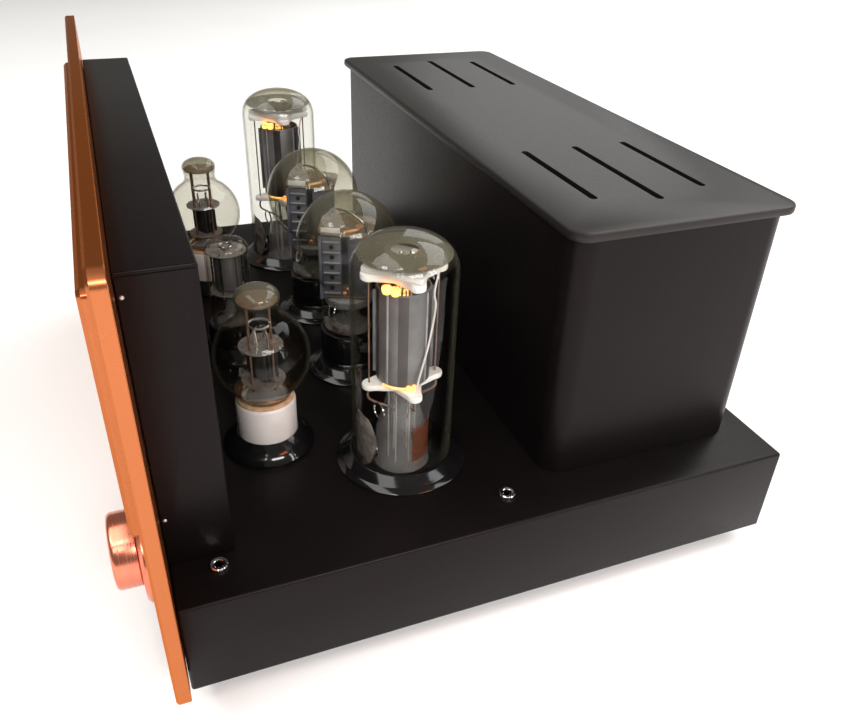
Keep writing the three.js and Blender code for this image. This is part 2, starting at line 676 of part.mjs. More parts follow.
/** A row of posts on an insulating plate, each with a plug hole in its end. */
function speakerTerminals(part) {
  const places = [-POST.pitch, 0, POST.pitch].map((dx) => part.x + dx);
  const posts = places.map((x) => join(
    cylinderAlongY(POST.radius, REAR_PLATE.front + 1, BACK_REACH, x, REAR.z, 12),
    cylinderAlongY(POST.stud, CHASSIS.depth - POST.studDepth, REAR_PLATE.front + 1.5, x, REAR.z, 8),
  ));
  const holes = places.map(
    (x) => cylinderAlongY(POST.hole, BACK_REACH - POST.holeDepth, BACK_REACH + 1, x, REAR.z, 8),
  );
  return cut(join(rearPlate(part), ...posts), ...holes);
}

/** Three pairs of line-level jacks on one plate. */
function inputJacks(part) {
  const jacks = [];
  const holes = [];
  for (const column of [-1, 0, 1]) {
    for (const row of [-0.5, 0.5]) {
      const x = part.x + column * JACK.pitchX;
      const z = REAR.z + row * JACK.pitchZ;
      jacks.push(cylinderAlongY(JACK.radius, REAR_PLATE.front + 1, REAR_PLATE.back + JACK.reach, x, z, 12));
      jacks.push(cylinderAlongY(JACK.stud, CHASSIS.depth - JACK.studDepth, REAR_PLATE.front + 1.5, x, z, 8));
      holes.push(cylinderAlongY(JACK.hole, REAR_PLATE.back, REAR_PLATE.back + JACK.reach + 1, x, z, 8));
    }
  }
  return cut(join(rearPlate(part), ...jacks), ...holes);
}

const REAR_MAKERS = {
  mains_inlet: mainsInlet,
  speaker_terminals_left: speakerTerminals,
  speaker_terminals_right: speakerTerminals,
  input_jacks: inputJacks,
};
for (const part of rearParts()) {
  addPiece(part.name, REAR_MAKERS[part.name](part), PLASTIC);
}

// The origin goes to floor level, midway between the knobs' faces and the terminals' ends.
amplifier.position.y = (FRONT_REACH - BACK_REACH) / 2;

export default amplifier;
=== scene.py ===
"""A valve amplifier with a copper-coloured front panel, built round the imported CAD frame.

Shapes are worked out in millimetres and stored in metres. The places of the pieces come from the
boxes of the CAD nodes, so every piece sits where its node sits.
"""

import math
import bmesh
import bpy
from mathutils import Matrix, Vector


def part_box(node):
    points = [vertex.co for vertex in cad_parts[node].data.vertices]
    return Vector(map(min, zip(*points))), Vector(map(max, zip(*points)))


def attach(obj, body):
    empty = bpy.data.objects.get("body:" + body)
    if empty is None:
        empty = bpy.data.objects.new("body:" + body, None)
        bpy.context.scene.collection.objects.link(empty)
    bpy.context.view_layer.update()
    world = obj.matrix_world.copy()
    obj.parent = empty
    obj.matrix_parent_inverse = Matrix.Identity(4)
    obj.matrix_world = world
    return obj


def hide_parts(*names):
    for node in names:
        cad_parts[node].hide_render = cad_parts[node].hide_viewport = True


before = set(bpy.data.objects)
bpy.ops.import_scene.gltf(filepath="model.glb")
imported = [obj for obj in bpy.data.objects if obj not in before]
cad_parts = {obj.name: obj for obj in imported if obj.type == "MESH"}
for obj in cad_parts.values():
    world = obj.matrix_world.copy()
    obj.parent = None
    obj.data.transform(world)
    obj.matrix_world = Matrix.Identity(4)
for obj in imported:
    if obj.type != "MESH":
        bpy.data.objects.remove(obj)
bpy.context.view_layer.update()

MM = 0.001
SHEET = 1.6   # thickness of the folded sheet
GAP = 0.3     # between two plates that lie on each other
SIDES = (("left", -1), ("right", 1))

for leftover in ("Cube", "Light", "Camera"):
    if leftover in bpy.data.objects:
        bpy.data.objects.remove(bpy.data.objects[leftover])


# ---------------------------------------------------------------- places taken from the frame

def limits(node):
    """The lowest and highest corners of a CAD node, in millimetres."""
    low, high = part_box(node)
    return low / MM, high / MM


def middle(node):
    low, high = limits(node)
    return (low + high) / 2


def measured(node):
    """The middle of a CAD node, then its lowest and highest corners."""
    return middle(node), *limits(node)


CHASSIS_LOW, CHASSIS_HIGH = limits("chassis_shell")
DECK = CHASSIS_HIGH.z
PANEL_LOW, PANEL_HIGH = limits("front_panel")
PANEL_FRONT, PANEL_BACK = PANEL_LOW.y, PANEL_HIGH.y
REAR_WALL = CHASSIS_HIGH.y
REAR_FACE = REAR_WALL + GAP + 2.4   # the outside of the plates on the back wall


# ---------------------------------------------------------------- shapes, as (points, faces)

def lathe(profile, steps=64, closed=False):
    """A surface turned about Z. The profile holds (radius, z) pairs; radius 0 is a point on the axis."""
    points, rings, faces = [], [], []
    for radius, z in profile:
        count = 1 if radius < 1e-6 else steps
        rings.append(range(len(points), len(points) + count))
        for i in range(count):
            angle = math.tau * i / steps
            points.append((radius * math.cos(angle), radius * math.sin(angle), z))
    pairs = list(zip(rings, rings[1:]))
    if closed:
        pairs.append((rings[-1], rings[0]))
    for a, b in pairs:
        for i in range(steps):
            j = (i + 1) % steps
            corners = [a[i % len(a)], a[j % len(a)], b[j % len(b)], b[i % len(b)]]
            corners = list(dict.fromkeys(corners))
            if len(corners) > 2:
                faces.append(corners)
    return points, faces


def cylinder(radius, bottom, top, steps):
    return lathe([(0, bottom), (radius, bottom), (radius, top), (0, top)], steps)


def rod(path, radius, sides=8):
    """A round bar along a path, with closed ends."""
    path = [Vector(p) for p in path]
    points, faces = [], []
    normal = None
    for i, here in enumerate(path):
        along = (path[min(i + 1, len(path) - 1)] - path[max(i - 1, 0)]).normalized()
        if normal is None:
            normal = along.orthogonal().normalized()
        normal = (normal - along * normal.dot(along)).normalized()
        across = along.cross(normal)
        for k in range(sides):
            angle = math.tau * k / sides
            points.append(here + normal * radius * math.cos(angle) + across * radius * math.sin(angle))
    for i in range(len(path) - 1):
        for k in range(sides):
            a, b = i * sides + k, i * sides + (k + 1) % sides
            faces.append([a, b, b + sides, a + sides])
    faces.append(list(range(sides))[::-1])
    faces.append([len(points) - sides + k for k in range(sides)])
    return [tuple(p) for p in points], faces


def bent(path, steps=8):
    """A smooth path through the given points."""
    points = [Vector(p) for p in path]
    ends = [2 * points[0] - points[1]] + points + [2 * points[-1] - points[-2]]
    smooth = []
    for a, b, c, d in zip(ends, ends[1:], ends[2:], ends[3:]):
        for i in range(steps):
            t = i / steps
            smooth.append(0.5 * (2 * b + (c - a) * t + (2 * a - 5 * b + 4 * c - d) * t * t
                                 + (3 * b - a - 3 * c + d) * t ** 3))
    return smooth + [points[-1]]


def coil(radius, bottom, top, turns, wire):
    """A small spring along Z."""
    steps = 14
    count = turns * steps
    path = [(radius * math.cos(math.tau * i / steps), radius * math.sin(math.tau * i / steps),
             bottom + (top - bottom) * i / count) for i in range(count + 1)]
    return rod(path, wire, 5)


def stacked(loops, closed=False):
    """A skin over loops of equally many points. It is capped unless it is closed on itself."""
    size = len(loops[0])
    points = [p for loop in loops for p in loop]
    faces = []
    for n in range(len(loops) if closed else len(loops) - 1):
        low, high = n * size, (n + 1) % len(loops) * size
        for i in range(size):
            j = (i + 1) % size
            faces.append([low + i, low + j, high + j, high + i])
    if not closed:
        faces.append(list(range(size))[::-1])
        faces.append([len(points) - size + i for i in range(size)])
    return points, faces


def round_rectangle(width, depth, corner, z, steps=8):
    """A loop of points round a rectangle with round corners, at height z."""
    loop = []
    for quarter, (sx, sy) in enumerate(((1, 1), (-1, 1), (-1, -1), (1, -1))):
        for i in range(steps + 1):
            angle = math.pi / 2 * (quarter + i / steps)
            loop.append((sx * (width / 2 - corner) + corner * math.cos(angle),
                         sy * (depth / 2 - corner) + corner * math.sin(angle), z))
    return loop


def slab(width, depth, corner, layers, closed=False, steps=8):
    """A level plate with round corners. Each layer is (inset, z)."""
    smallest = 0.05
    loops = [round_rectangle(width - 2 * inset, depth - 2 * inset, max(corner - inset, smallest), z, steps)
             for inset, z in layers]
    return stacked(loops, closed)


def prism(outline, bottom, top, edge=0.0):
    """A flat plate from an outline of (x, y) points about the origin, with slightly worn edges."""
    if not edge:
        return stacked([[(x, y, bottom) for x, y in outline], [(x, y, top) for x, y in outline]])
    size = max(math.hypot(x, y) for x, y in outline)
    small = 1 - edge / size
    return stacked([[(x * s, y * s, z) for x, y in outline] for s, z in
                    ((small, bottom), (1, bottom + edge), (1, top - edge), (small, top))])


def brick(low, high, edge=0.0, segments=2):
    """A box between two corners, with rounded edges."""
    low, high = Vector(low), Vector(high)
    mesh = bmesh.new()
    bmesh.ops.create_cube(mesh, size=1)
    size = high - low
    for v in mesh.verts:
        v.co = Vector((v.co.x * size.x, v.co.y * size.y, v.co.z * size.z)) + (low + high) / 2
    if edge:
        bmesh.ops.bevel(mesh, geom=mesh.edges[:], offset=edge, segments=segments, profile=0.5,
                        affect="EDGES")
    mesh.verts.index_update()
    part = [tuple(v.co) for v in mesh.verts], [[v.index for v in f.verts] for f in mesh.faces]
    mesh.free()
    return part


def moved(part, x=0.0, y=0.0, z=0.0, spin=0.0, tilt=None):
    """A part turned about Z by spin degrees, turned by a matrix, then shifted."""
    turn = Matrix.Rotation(math.radians(spin), 3, "Z")
    if tilt is not None:
        turn = tilt @ turn
    return [tuple(turn @ Vector(p) + Vector((x, y, z))) for p in part[0]], part[1]


def joined(*parts):
    """Several parts as one."""
    points, faces = [], []
    for part in parts:
        base = len(points)
        points += part[0]
        faces += [[base + i for i in face] for face in part[1]]
    return points, faces


# Each of these turns a part's +Z to one side of the amplifier.
FACING_FRONT = Matrix.Rotation(math.pi / 2, 3, "X")
FACING_BACK = Matrix.Rotation(-math.pi / 2, 3, "X")
FACING_RIGHT = Matrix.Rotation(math.pi / 2, 3, "Y")
FACING_LEFT = Matrix.Rotation(-math.pi / 2, 3, "Y")


# ---------------------------------------------------------------- objects

def mesh_of(name, part):
    mesh = bpy.data.meshes.new(name)
    mesh.from_pydata([Vector(p) * MM for p in part[0]], [], part[1])
    shape = bmesh.new()
    shape.from_mesh(mesh)
    bmesh.ops.remove_doubles(shape, verts=shape.verts, dist=1e-7)
    bmesh.ops.recalc_face_normals(shape, faces=shape.faces)
    shape.to_mesh(mesh)
    shape.free()
    return mesh


def new_object(name, part):
    made = bpy.data.objects.new(name, mesh_of(name, part))
    bpy.context.scene.collection.objects.link(made)
    return made


def carve(target, *parts):
    """Cuts solids out of an object, one after another, and keeps the result as its mesh."""
    cutters = [new_object("cutter", part) for part in parts]
    for cutter in cutters:
        boolean = target.modifiers.new("carve", "BOOLEAN")
        boolean.operation = "DIFFERENCE"
        boolean.solver = "EXACT"
        boolean.object = cutter
    bpy.context.view_layer.update()
    shown = target.evaluated_get(bpy.context.evaluated_depsgraph_get())
    carved = bpy.data.meshes.new_from_object(shown)
    target.modifiers.clear()
    target.data = carved
    for cutter in cutters:
        bpy.data.objects.remove(cutter)


def smooth(target, angle=35):
    target.data.shade_smooth()
    target.data.set_sharp_from_angle(angle=math.radians(angle))


def piece(name, part, material, slot, body="chassis", at=(0, 0, 0), replaces=(), cuts=(), angle=35):
    """Makes a shown piece whose shape is given in millimetres round the point at."""
    made = new_object(name, moved(part, *at))
    if cuts:
        carve(made, *[moved(c, *at) for c in cuts])
    made.data.materials.clear()
    made.data.materials.append(material)
    smooth(made, angle)
    if replaces:
        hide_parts(*replaces)
    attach(made, body)
    return made


# ---------------------------------------------------------------- material nodes

def new_material(name):
    """A new material and its empty node tree."""
    material = bpy.data.materials.new(name)
    material.use_nodes = True
    material.node_tree.nodes.clear()
    return material, material.node_tree


def feed(tree, socket, value):
    """Links a signal to a socket, or sets the socket if the value is a constant."""
    if isinstance(value, bpy.types.NodeSocket):
        tree.links.new(value, socket)
    else:
        socket.default_value = value


def node(tree, kind, **settings):
    """A node whose settings are properties, or inputs when the name starts with in_."""
    made = tree.nodes.new(kind)
    for key, value in settings.items():
        if key.startswith("in_"):
            feed(tree, made.inputs[key[3:].replace("_", " ")], value)
        else:
            setattr(made, key, value)
    return made


def noise(tree, scale, detail=4.0, roughness=0.55, stretch=(1, 1, 1)):
    """Noise in the object's own space, in cycles per metre. Returns its output from 0 to 1."""
    where = node(tree, "ShaderNodeTexCoord").outputs["Object"]
    place = node(tree, "ShaderNodeMapping", in_Vector=where, in_Scale=stretch).outputs["Vector"]
    made = node(tree, "ShaderNodeTexNoise", in_Vector=place, in_Scale=scale, in_Detail=detail,
                in_Roughness=roughness)
    return made.outputs["Fac"]


def ranged(tree, source, low, high, start=0.3, end=0.7):
    """Maps a signal from start..end to low..high, clamped."""
    made = node(tree, "ShaderNodeMapRange", clamp=True, in_Value=source, in_From_Min=start,
                in_From_Max=end, in_To_Min=low, in_To_Max=high)
    return made.outputs["Result"]


def blended(tree, amount, first, second, blend="MIX"):
    """A constant colour laid over another by an amount. The other may be a constant or a signal."""
    mix = node(tree, "ShaderNodeMix", data_type="RGBA", blend_type=blend, in_Factor=amount)
    below, above = [s for s in mix.inputs if s.type == "RGBA"]
    feed(tree, below, first if isinstance(first, bpy.types.NodeSocket) else (*first, 1))
    above.default_value = (*second, 1)
    return next(s for s in mix.outputs if s.type == "RGBA")


def bumped(tree, source, height, under=None):
    """A bump of the given height in millimetres, on top of another bump if there is one."""
    bump = node(tree, "ShaderNodeBump", in_Distance=height * MM, in_Height=source)
    if under:
        feed(tree, bump.inputs["Normal"], under)
    return bump.outputs["Normal"]


def maths(tree, operation, first, second):
    """A Math node on two values, each a signal or a plain number."""
    made = node(tree, "ShaderNodeMath", operation=operation)
    feed(tree, made.inputs[0], first)
    feed(tree, made.inputs[1], second)
    return made.outputs[0]


def mixed(tree, amount, first, second):
    """A shader between two others."""
    mix = node(tree, "ShaderNodeMixShader", in_Fac=amount)
    feed(tree, mix.inputs[1], first.outputs[0])
    feed(tree, mix.inputs[2], second.outputs[0])
    return mix


def finish_material(material, tree, shader):
    node(tree, "ShaderNodeOutputMaterial", in_Surface=shader.outputs[0])
    return material


def opaque(material, tree, colours, mottle, roughness, normal, **sockets):
    """Finishes a material with two mottled colours, an uneven gloss and a bump."""
    colour = blended(tree, ranged(tree, mottle, 0, 1), *colours)
    shader = node(tree, "ShaderNodeBsdfPrincipled", in_Base_Color=colour, in_Roughness=roughness,
                  in_Normal=normal, **sockets)
    return finish_material(material, tree, shader)


def solid(name, colours, rough, metal=0.0, patch=60, grain=2500, bump=0.02, stretch=(1, 1, 1), **sockets):
    """An opaque material with a fine surface grain."""
    material, tree = new_material(name)
    gloss = ranged(tree, noise(tree, patch * 2.3, 5, 0.7), *rough)
    normal = bumped(tree, noise(tree, grain, 3, 0.6, stretch), bump)
    return opaque(material, tree, colours, noise(tree, patch), gloss, normal, in_Metallic=metal, **sockets)


def powder_coat(name, colours, rough, peel, specular):
    """Black powder coat: a soft orange peel, a finer tooth on top and faint dust in the gloss."""
    material, tree = new_material(name)
    gloss = ranged(tree, noise(tree, 900, 3, 0.7), *rough)
    coarse = bumped(tree, noise(tree, 420, 2, 0.5), peel)
    fine = bumped(tree, noise(tree, 1900, 2, 0.5), peel * 0.35, coarse)
    return opaque(material, tree, colours, noise(tree, 14, 5, 0.6), gloss, fine,
                  in_Specular_IOR_Level=specular, in_Specular_Tint=(1.0, 0.88, 0.86, 1))


def turned_metal(name, colours, rough):
    """Metal with the fine rings that a lathe leaves, about an axis along Y through each piece."""
    material, tree = new_material(name)
    rings = noise(tree, 2400, 2, 0.5, (0.02, 1, 0.02))
    return opaque(material, tree, colours, noise(tree, 90), ranged(tree, rings, *rough),
                  bumped(tree, rings, 0.002), in_Metallic=1.0)


def film_cover(tree, start, full):
    """How much film lies on the glass: none below start, most of it above full, over the deck."""
    where = node(tree, "ShaderNodeTexCoord").outputs["Object"]
    height = node(tree, "ShaderNodeSeparateXYZ", in_Vector=where).outputs["Z"]
    depth = ranged(tree, height, 0, 1, (DECK + start) * MM, (DECK + full) * MM)
    return maths(tree, "MULTIPLY", depth, ranged(tree, noise(tree, 40, 3), 0.75, 1))


def clear_glass(name, tint, rim, film=None, haze=0.0):
    """Thin blown glass: what is behind it shows unbent, tinted more where the wall is seen edge on.

    A film is the smoky deposit in a dome: (colour, gloss, start, full), with start and full as in
    film_cover. Where there is a film the glass is also a little hazy, by haze, and dusty at its edge.
    """
    material, tree = new_material(name)
    facing = node(tree, "ShaderNodeLayerWeight", in_Blend=0.5).outputs["Facing"]
    edge = ranged(tree, facing, 0, 1, 0.62, 0.98)
    colour = blended(tree, edge, tint, rim)
    wave = bumped(tree, noise(tree, 45, 2), 0.2)
    mirror = node(tree, "ShaderNodeFresnel", in_IOR=1.33, in_Normal=wave).outputs["Fac"]
    if film:
        film_colour, film_gloss, start, full = film
        amount = film_cover(tree, start, full)
        colour = blended(tree, amount, colour, film_colour, "MULTIPLY")
        mirror = maths(tree, "ADD", mirror, maths(tree, "MULTIPLY", amount, film_gloss))
    # Light inside the wall of the glass leaves it freely, so only the outward faces reflect.
    inside = node(tree, "ShaderNodeNewGeometry").outputs["Backfacing"]
    mirror = maths(tree, "MULTIPLY", mirror, maths(tree, "SUBTRACT", 1.0, inside))
    shadow = node(tree, "ShaderNodeLightPath").outputs["Is Shadow Ray"]
    colour = blended(tree, shadow, colour, (0.93, 0.93, 0.92))
    through = node(tree, "ShaderNodeBsdfTransparent", in_Color=colour)
    uneven = ranged(tree, noise(tree, 160, 4), 0.015, 0.10)
    gloss = node(tree, "ShaderNodeBsdfGlossy", in_Normal=wave, in_Roughness=uneven)
    shader = mixed(tree, mirror, through, gloss)
    if film:
        dust = node(tree, "ShaderNodeBsdfDiffuse", in_Color=(0.17, 0.16, 0.115, 1))
        in_film, on_edge = maths(tree, "MULTIPLY", amount, haze), maths(tree, "MULTIPLY", edge, 0.16)
        shader = mixed(tree, maths(tree, "ADD", in_film, on_edge), shader, dust)
    return finish_material(material, tree, shader)


def glowing(name, colour, strength):
    """A glowing surface, hotter in colour and brighter in patches. It serves the lit filaments, and painted
    glow where their light shows.
    """
    material, tree = new_material(name)
    hot = blended(tree, ranged(tree, noise(tree, 200, 2), 0, 1), colour, (1.0, 0.62, 0.16))
    power = ranged(tree, noise(tree, 320, 2), strength * 0.6, strength)
    shader = node(tree, "ShaderNodeBsdfPrincipled", in_Roughness=0.6, in_Base_Color=(0.5, 0.3, 0.2, 1),
                  in_Emission_Color=hot, in_Emission_Strength=power)
    return finish_material(material, tree, shader)


# ---------------------------------------------------------------- materials

# A finish is how fine the mottling and the grain are, in cycles per metre. The third number, where there
# is one, is the height of the grain in millimetres.
PLATED = (120, 1500)
WIRE = (200, 2500, 0.005)
SHEET_METAL = (140, 1800, 0.02)
MOULDED = (90, 1600)
GLAZED = (110, 900, 0.02)
SPLIT_MICA = (90, 1400, 0.02)
PRINTED = (300, 1500, 0.005)
FILM = (60, 300, 0.1)

PAINT = powder_coat("black_powder_coat", ((0.0030, 0.0022, 0.0024), (0.0055, 0.0040, 0.0042)), (0.28, 0.42),
                    0.05, 0.13)
# The lid's colours are lighter than the walls' black paint: painted light on the top of the cover.
LID_PAINT = powder_coat("satin_lid_coat_painted_lighter", ((0.007, 0.0066, 0.006), (0.011, 0.0104, 0.0095)), (0.36, 0.48),
                        0.03, 0.32)
COPPER = solid("copper_anodising", ((0.46, 0.144, 0.055), (0.48, 0.151, 0.058)), (0.265, 0.285), 1.0,
               12, 3200, 0.001, in_Specular_Tint=(1.0, 0.62, 0.42, 1))
KNOB = turned_metal("turned_pink_copper", ((0.66, 0.20, 0.125), (0.74, 0.25, 0.155)), (0.18, 0.30))
CHROME = solid("bright_chrome", ((0.62, 0.62, 0.63), (0.72, 0.72, 0.72)), (0.06, 0.16), 1.0, *PLATED, 0.004)
STEEL = solid("turned_steel", ((0.42, 0.42, 0.43), (0.52, 0.52, 0.52)), (0.25, 0.4), 1.0, *PLATED, 0.01)
NICKEL = solid("nickel_wire", ((0.45, 0.43, 0.40), (0.60, 0.58, 0.55)), (0.22, 0.4), 1.0, *WIRE)
GOLD = solid("brass_wire", ((0.55, 0.36, 0.14), (0.66, 0.45, 0.2)), (0.2, 0.4), 1.0, *WIRE)
GOLD_PLATE = solid("gold_plate", ((0.75, 0.52, 0.18), (0.83, 0.6, 0.25)), (0.15, 0.3), 1.0, 200, 2500, 0.004)
TINNED_WIRE = solid("tinned_wire", ((0.72, 0.68, 0.69), (0.86, 0.82, 0.82)), (0.25, 0.4), 0.2, *WIRE)
BROWN_WIRE = solid("oxidised_copper_wire", ((0.20, 0.11, 0.08), (0.34, 0.21, 0.16)), (0.3, 0.5), 0.6, *WIRE)
DULL_COPPER = solid("dull_copper", ((0.42, 0.22, 0.15), (0.60, 0.36, 0.27)), (0.35, 0.5), 0.7,
                    150, 1500, 0.02)
ANODE = solid("carbonised_plate", ((0.13, 0.127, 0.133), (0.20, 0.195, 0.205)), (0.3, 0.40), 0.4,
              90, 1200, 0.001, (1, 1, 0.1))
# Dark sheets laid on the power valves' anodes: painted shade.
ANODE_SHADE = solid("anode_band", ((0.045, 0.036, 0.038), (0.075, 0.062, 0.064)), (0.32, 0.40), 0.3,
                   90, 700, 0.001)
LIGHT_PLATE = solid("bright_plate", ((0.36, 0.36, 0.38), (0.50, 0.50, 0.53)), (0.32, 0.48), 0.5, *SHEET_METAL)
BLUE_PLATE = solid("bluish_plate", ((0.15, 0.16, 0.20), (0.24, 0.25, 0.31)), (0.3, 0.45), 0.4, *SHEET_METAL)
DARK_PLATE = solid("dark_plate", ((0.02, 0.02, 0.022), (0.05, 0.048, 0.046)), (0.4, 0.6), 0.3, *SHEET_METAL)
IRON = solid("varnished_iron", ((0.02, 0.02, 0.022), (0.045, 0.043, 0.042)), (0.4, 0.6), 0.2, 90, 1100, 0.06)
CERAMIC = solid("white_ceramic", ((0.66, 0.60, 0.575), (0.72, 0.67, 0.645)), (0.25, 0.4), 0.0, *GLAZED)
SPACER = solid("white_spacer", ((0.94, 0.92, 0.92), (0.98, 0.97, 0.97)), (0.35, 0.5), 0.0, *GLAZED)
CERAMIC_RIM = solid("tan_cement", ((0.42, 0.24, 0.12), (0.60, 0.40, 0.24)), (0.5, 0.7), 0.0, 260, 1200, 0.06)
MICA = solid("mica", ((0.17, 0.15, 0.14), (0.29, 0.26, 0.245)), (0.15, 0.4), 0.0, 200, 1400, 0.02,
             in_Alpha=0.85)
TAN_MICA = solid("tan_mica", ((0.20, 0.155, 0.12), (0.33, 0.27, 0.21)), (0.15, 0.4), 0.0, 120, 1400, 0.02,
                 in_Alpha=0.7)
WHITE_MICA = solid("white_mica", ((0.80, 0.82, 0.88), (0.95, 0.96, 1.0)), (0.2, 0.4), 0.0, *SPLIT_MICA)
BROWN_MICA = solid("browned_mica", ((0.30, 0.17, 0.12), (0.44, 0.30, 0.22)), (0.15, 0.4), 0.0, *SPLIT_MICA,
                   in_Alpha=0.85)
BAKELITE = solid("gloss_black_bakelite", ((0.003, 0.003, 0.0034), (0.006, 0.0056, 0.006)), (0.06, 0.14), 0.0,
                 60, 700, 0.004, in_Specular_IOR_Level=0.5)
BLACK_PLASTIC = solid("black_moulding", ((0.01, 0.01, 0.01), (0.018, 0.018, 0.018)), (0.4, 0.55), 0.0,
                      *MOULDED, 0.03)
RED_PLASTIC = solid("red_moulding", ((0.32, 0.012, 0.01), (0.42, 0.02, 0.015)), (0.3, 0.45), 0.0,
                    *MOULDED, 0.02)
RUBBER = solid("rubber", ((0.012, 0.012, 0.012), (0.022, 0.022, 0.022)), (0.65, 0.85), 0.0, 90, 1100, 0.06)
BOARD = solid("board_laminate", ((0.02, 0.09, 0.035), (0.03, 0.12, 0.05)), (0.35, 0.5), 0.0, 70, 900, 0.02)
DIAL = solid("dial_card", ((0.80, 0.70, 0.48), (0.86, 0.77, 0.56)), (0.6, 0.75), 0.0, 40, 1200, 0.01)
INK = solid("dial_ink", ((0.015, 0.012, 0.01), (0.03, 0.025, 0.02)), (0.5, 0.7), 0.0, *PRINTED)
RED_INK = solid("dial_red_ink", ((0.5, 0.03, 0.02), (0.6, 0.05, 0.03)), (0.5, 0.7), 0.0, *PRINTED)
STEM_GLASS = solid("stem_glass", ((0.26, 0.25, 0.26), (0.46, 0.45, 0.46)), (0.06, 0.14), 0.0, 60, 200, 0.1,
                   in_Alpha=0.34)
OLIVE_FILM = solid("olive_film", ((0.145, 0.138, 0.100), (0.20, 0.19, 0.145)), (0.2, 0.4), 0.2, *FILM,
                   in_Alpha=0.62)
# A copper-coloured sheet on the power valve's stem: a painted reflection of the copper, not a film on the
# glass.
PAINTED_COPPER_REFLECTION = solid("painted_copper_reflection", ((0.17, 0.050, 0.022), (0.25, 0.080, 0.036)), (0.2, 0.4), 0.1, *FILM,
                   in_Alpha=0.6)
MIRROR = solid("getter_mirror", ((0.80, 0.77, 0.72), (0.10, 0.05, 0.03)), (0.05, 0.16), 0.6, 110, 260, 0.12)
BROWN_FILM = solid("getter_shade", ((0.16, 0.085, 0.05), (0.34, 0.20, 0.12)), (0.1, 0.3), 0.8, 150, 500, 0.05)
# GLOW lights the power filaments and also the painted glow spots round their anodes.
GLOW = glowing("filament_glow", (1.0, 0.22, 0.015), 3.2)
DIM_GLOW = glowing("filament_dull_glow", (0.9, 0.10, 0.01), 0.8)

CLEAR, RIM = (0.87, 0.865, 0.83), (0.74, 0.735, 0.70)
GLASS = clear_glass("valve_glass", CLEAR, RIM, ((0.88, 0.87, 0.81), 0.02, 100, 122), 0.22)
INPUT_GLASS = clear_glass("input_valve_glass", CLEAR, RIM, ((0.86, 0.84, 0.77), 0.03, 92, 100), 0.30)
POWER_GLASS = clear_glass("power_valve_glass", (0.93, 0.93, 0.91), (0.72, 0.715, 0.68),
                          ((0.90, 0.88, 0.82), 0.03, 126, 134), 0.10)
WINDOW = clear_glass("window_glass", (0.97, 0.98, 0.97), (0.7, 0.72, 0.7))


# ---------------------------------------------------------------- chassis and casework

CORNERS = [f"{where}_{side}" for where in ("front", "rear") for side, _ in SIDES]
REAR_PLATES = ("mains_inlet", "input_jacks", "speaker_terminals_left", "speaker_terminals_right")
VALVE_SOCKETS = [f"{kind}_tube_socket_{side}" for kind in ("power", "driver", "input") for side, _ in SIDES]
VALVE_SOCKETS.append("middle_tube_socket")
BARREL_INSET = 6.2   # from the edge of a socket's collar to the barrel that goes through the deck


def round_cut(radius, reach, steps, x, y, z, tilt=None):
    """A round cutter that reaches to both sides of a plate."""
    return moved(cylinder(radius, -reach, reach, steps), x, y, z, 0, tilt)


def control_holes(button_hole, reach, steps, y):
    """Cutters for the two control shafts and the button."""
    shaft_hole = 5.5
    knob = middle("volume_knob")
    return [round_cut(radius, reach, steps, x, y, knob.z, FACING_FRONT)
            for x, radius in ((knob.x, shaft_hole), (-knob.x, shaft_hole), (0, button_hole))]


def make_chassis():
    """Folded sheet with soft bends, open below, with holes for everything that passes through it."""
    low, high = CHASSIS_LOW, CHASSIS_HIGH
    inside = brick(low + Vector((SHEET, SHEET, -9)), high - Vector((SHEET, SHEET, SHEET)), 1.2)
    housing_back = limits("control_housing")[1].y
    well = brick((-186, low.y + 2, DECK - 4), (186, housing_back - 8, DECK + 4))
    cuts = [inside, well]
    for name in VALVE_SOCKETS:
        place, a, b = measured(name)
        cuts.append(round_cut((b.x - a.x) / 2 - BARREL_INSET + 0.5, 4, 48, place.x, place.y, DECK))
    for _, side in SIDES:
        for where in ("front", "rear"):
            ring = middle(f"cage_socket_{where}_right")
            cuts.append(round_cut(3.7, 4, 24, side * ring.x, ring.y, DECK))
    cuts += control_holes(9, 6, 32, low.y)
    for name in REAR_PLATES:
        a, b = limits(name)
        cuts.append(brick((a.x + 4, REAR_WALL - 5, a.z + 4), (b.x - 4, REAR_WALL + 5, b.z - 4)))
    piece("chassis_skin", brick(low, high, 1.7, 4), PAINT, "painted_steel", replaces=["chassis_shell"],
          cuts=cuts)


def standing_plate(node_name, corner, worn, bevel, steps):
    """A plate that fills a node and faces the front. Its back edge is worn and its front edge bevelled."""
    low, high = limits(node_name)
    thick = high.y - low.y
    layers = [(worn, 0)] if worn else []
    layers += [(0, worn), (0, thick - bevel), (bevel, thick)]
    plate = slab(high.x - low.x, high.z - low.z, corner, layers, False, steps)
    return moved(plate, 0, high.y, (low.z + high.z) / 2, 0, FACING_FRONT)


def meter_windows(grow, depth, y):
    """The two openings for the meters, as solids to cut with. Their edges splay outwards by depth."""
    low, high = limits("meter_case_right")
    width, height = high.x - low.x + 2 * grow, high.z - low.z + 2 * grow
    cutter = slab(width + 2 * depth, height + 2 * depth, 2.5 + depth,
                  [(0, 4), (0, 0.2), (depth, -depth), (depth, -20)], False, 4)
    x, z = (low.x + high.x) / 2, (low.z + high.z) / 2
    return [moved(cutter, side * x, y, z, 0, FACING_FRONT) for _, side in SIDES]


def make_front_panel():
    holes = control_holes(8.5, 20, 40, PANEL_BACK)
    windows = meter_windows(GAP, 0.01, PANEL_FRONT)
    piece("front_plate", standing_plate("front_panel", 7, 0.35, 1.2, 12), COPPER, "anodised_copper",
          replaces=["front_panel"], cuts=holes + windows)


def make_meter_surround():
    front = limits("meter_surround")[0].y
    piece("meter_surround_plate", standing_plate("meter_surround", 4, 0, 1.8, 8), COPPER, "anodised_copper",
          replaces=["meter_surround"], cuts=meter_windows(-6.5, 1.5, front))


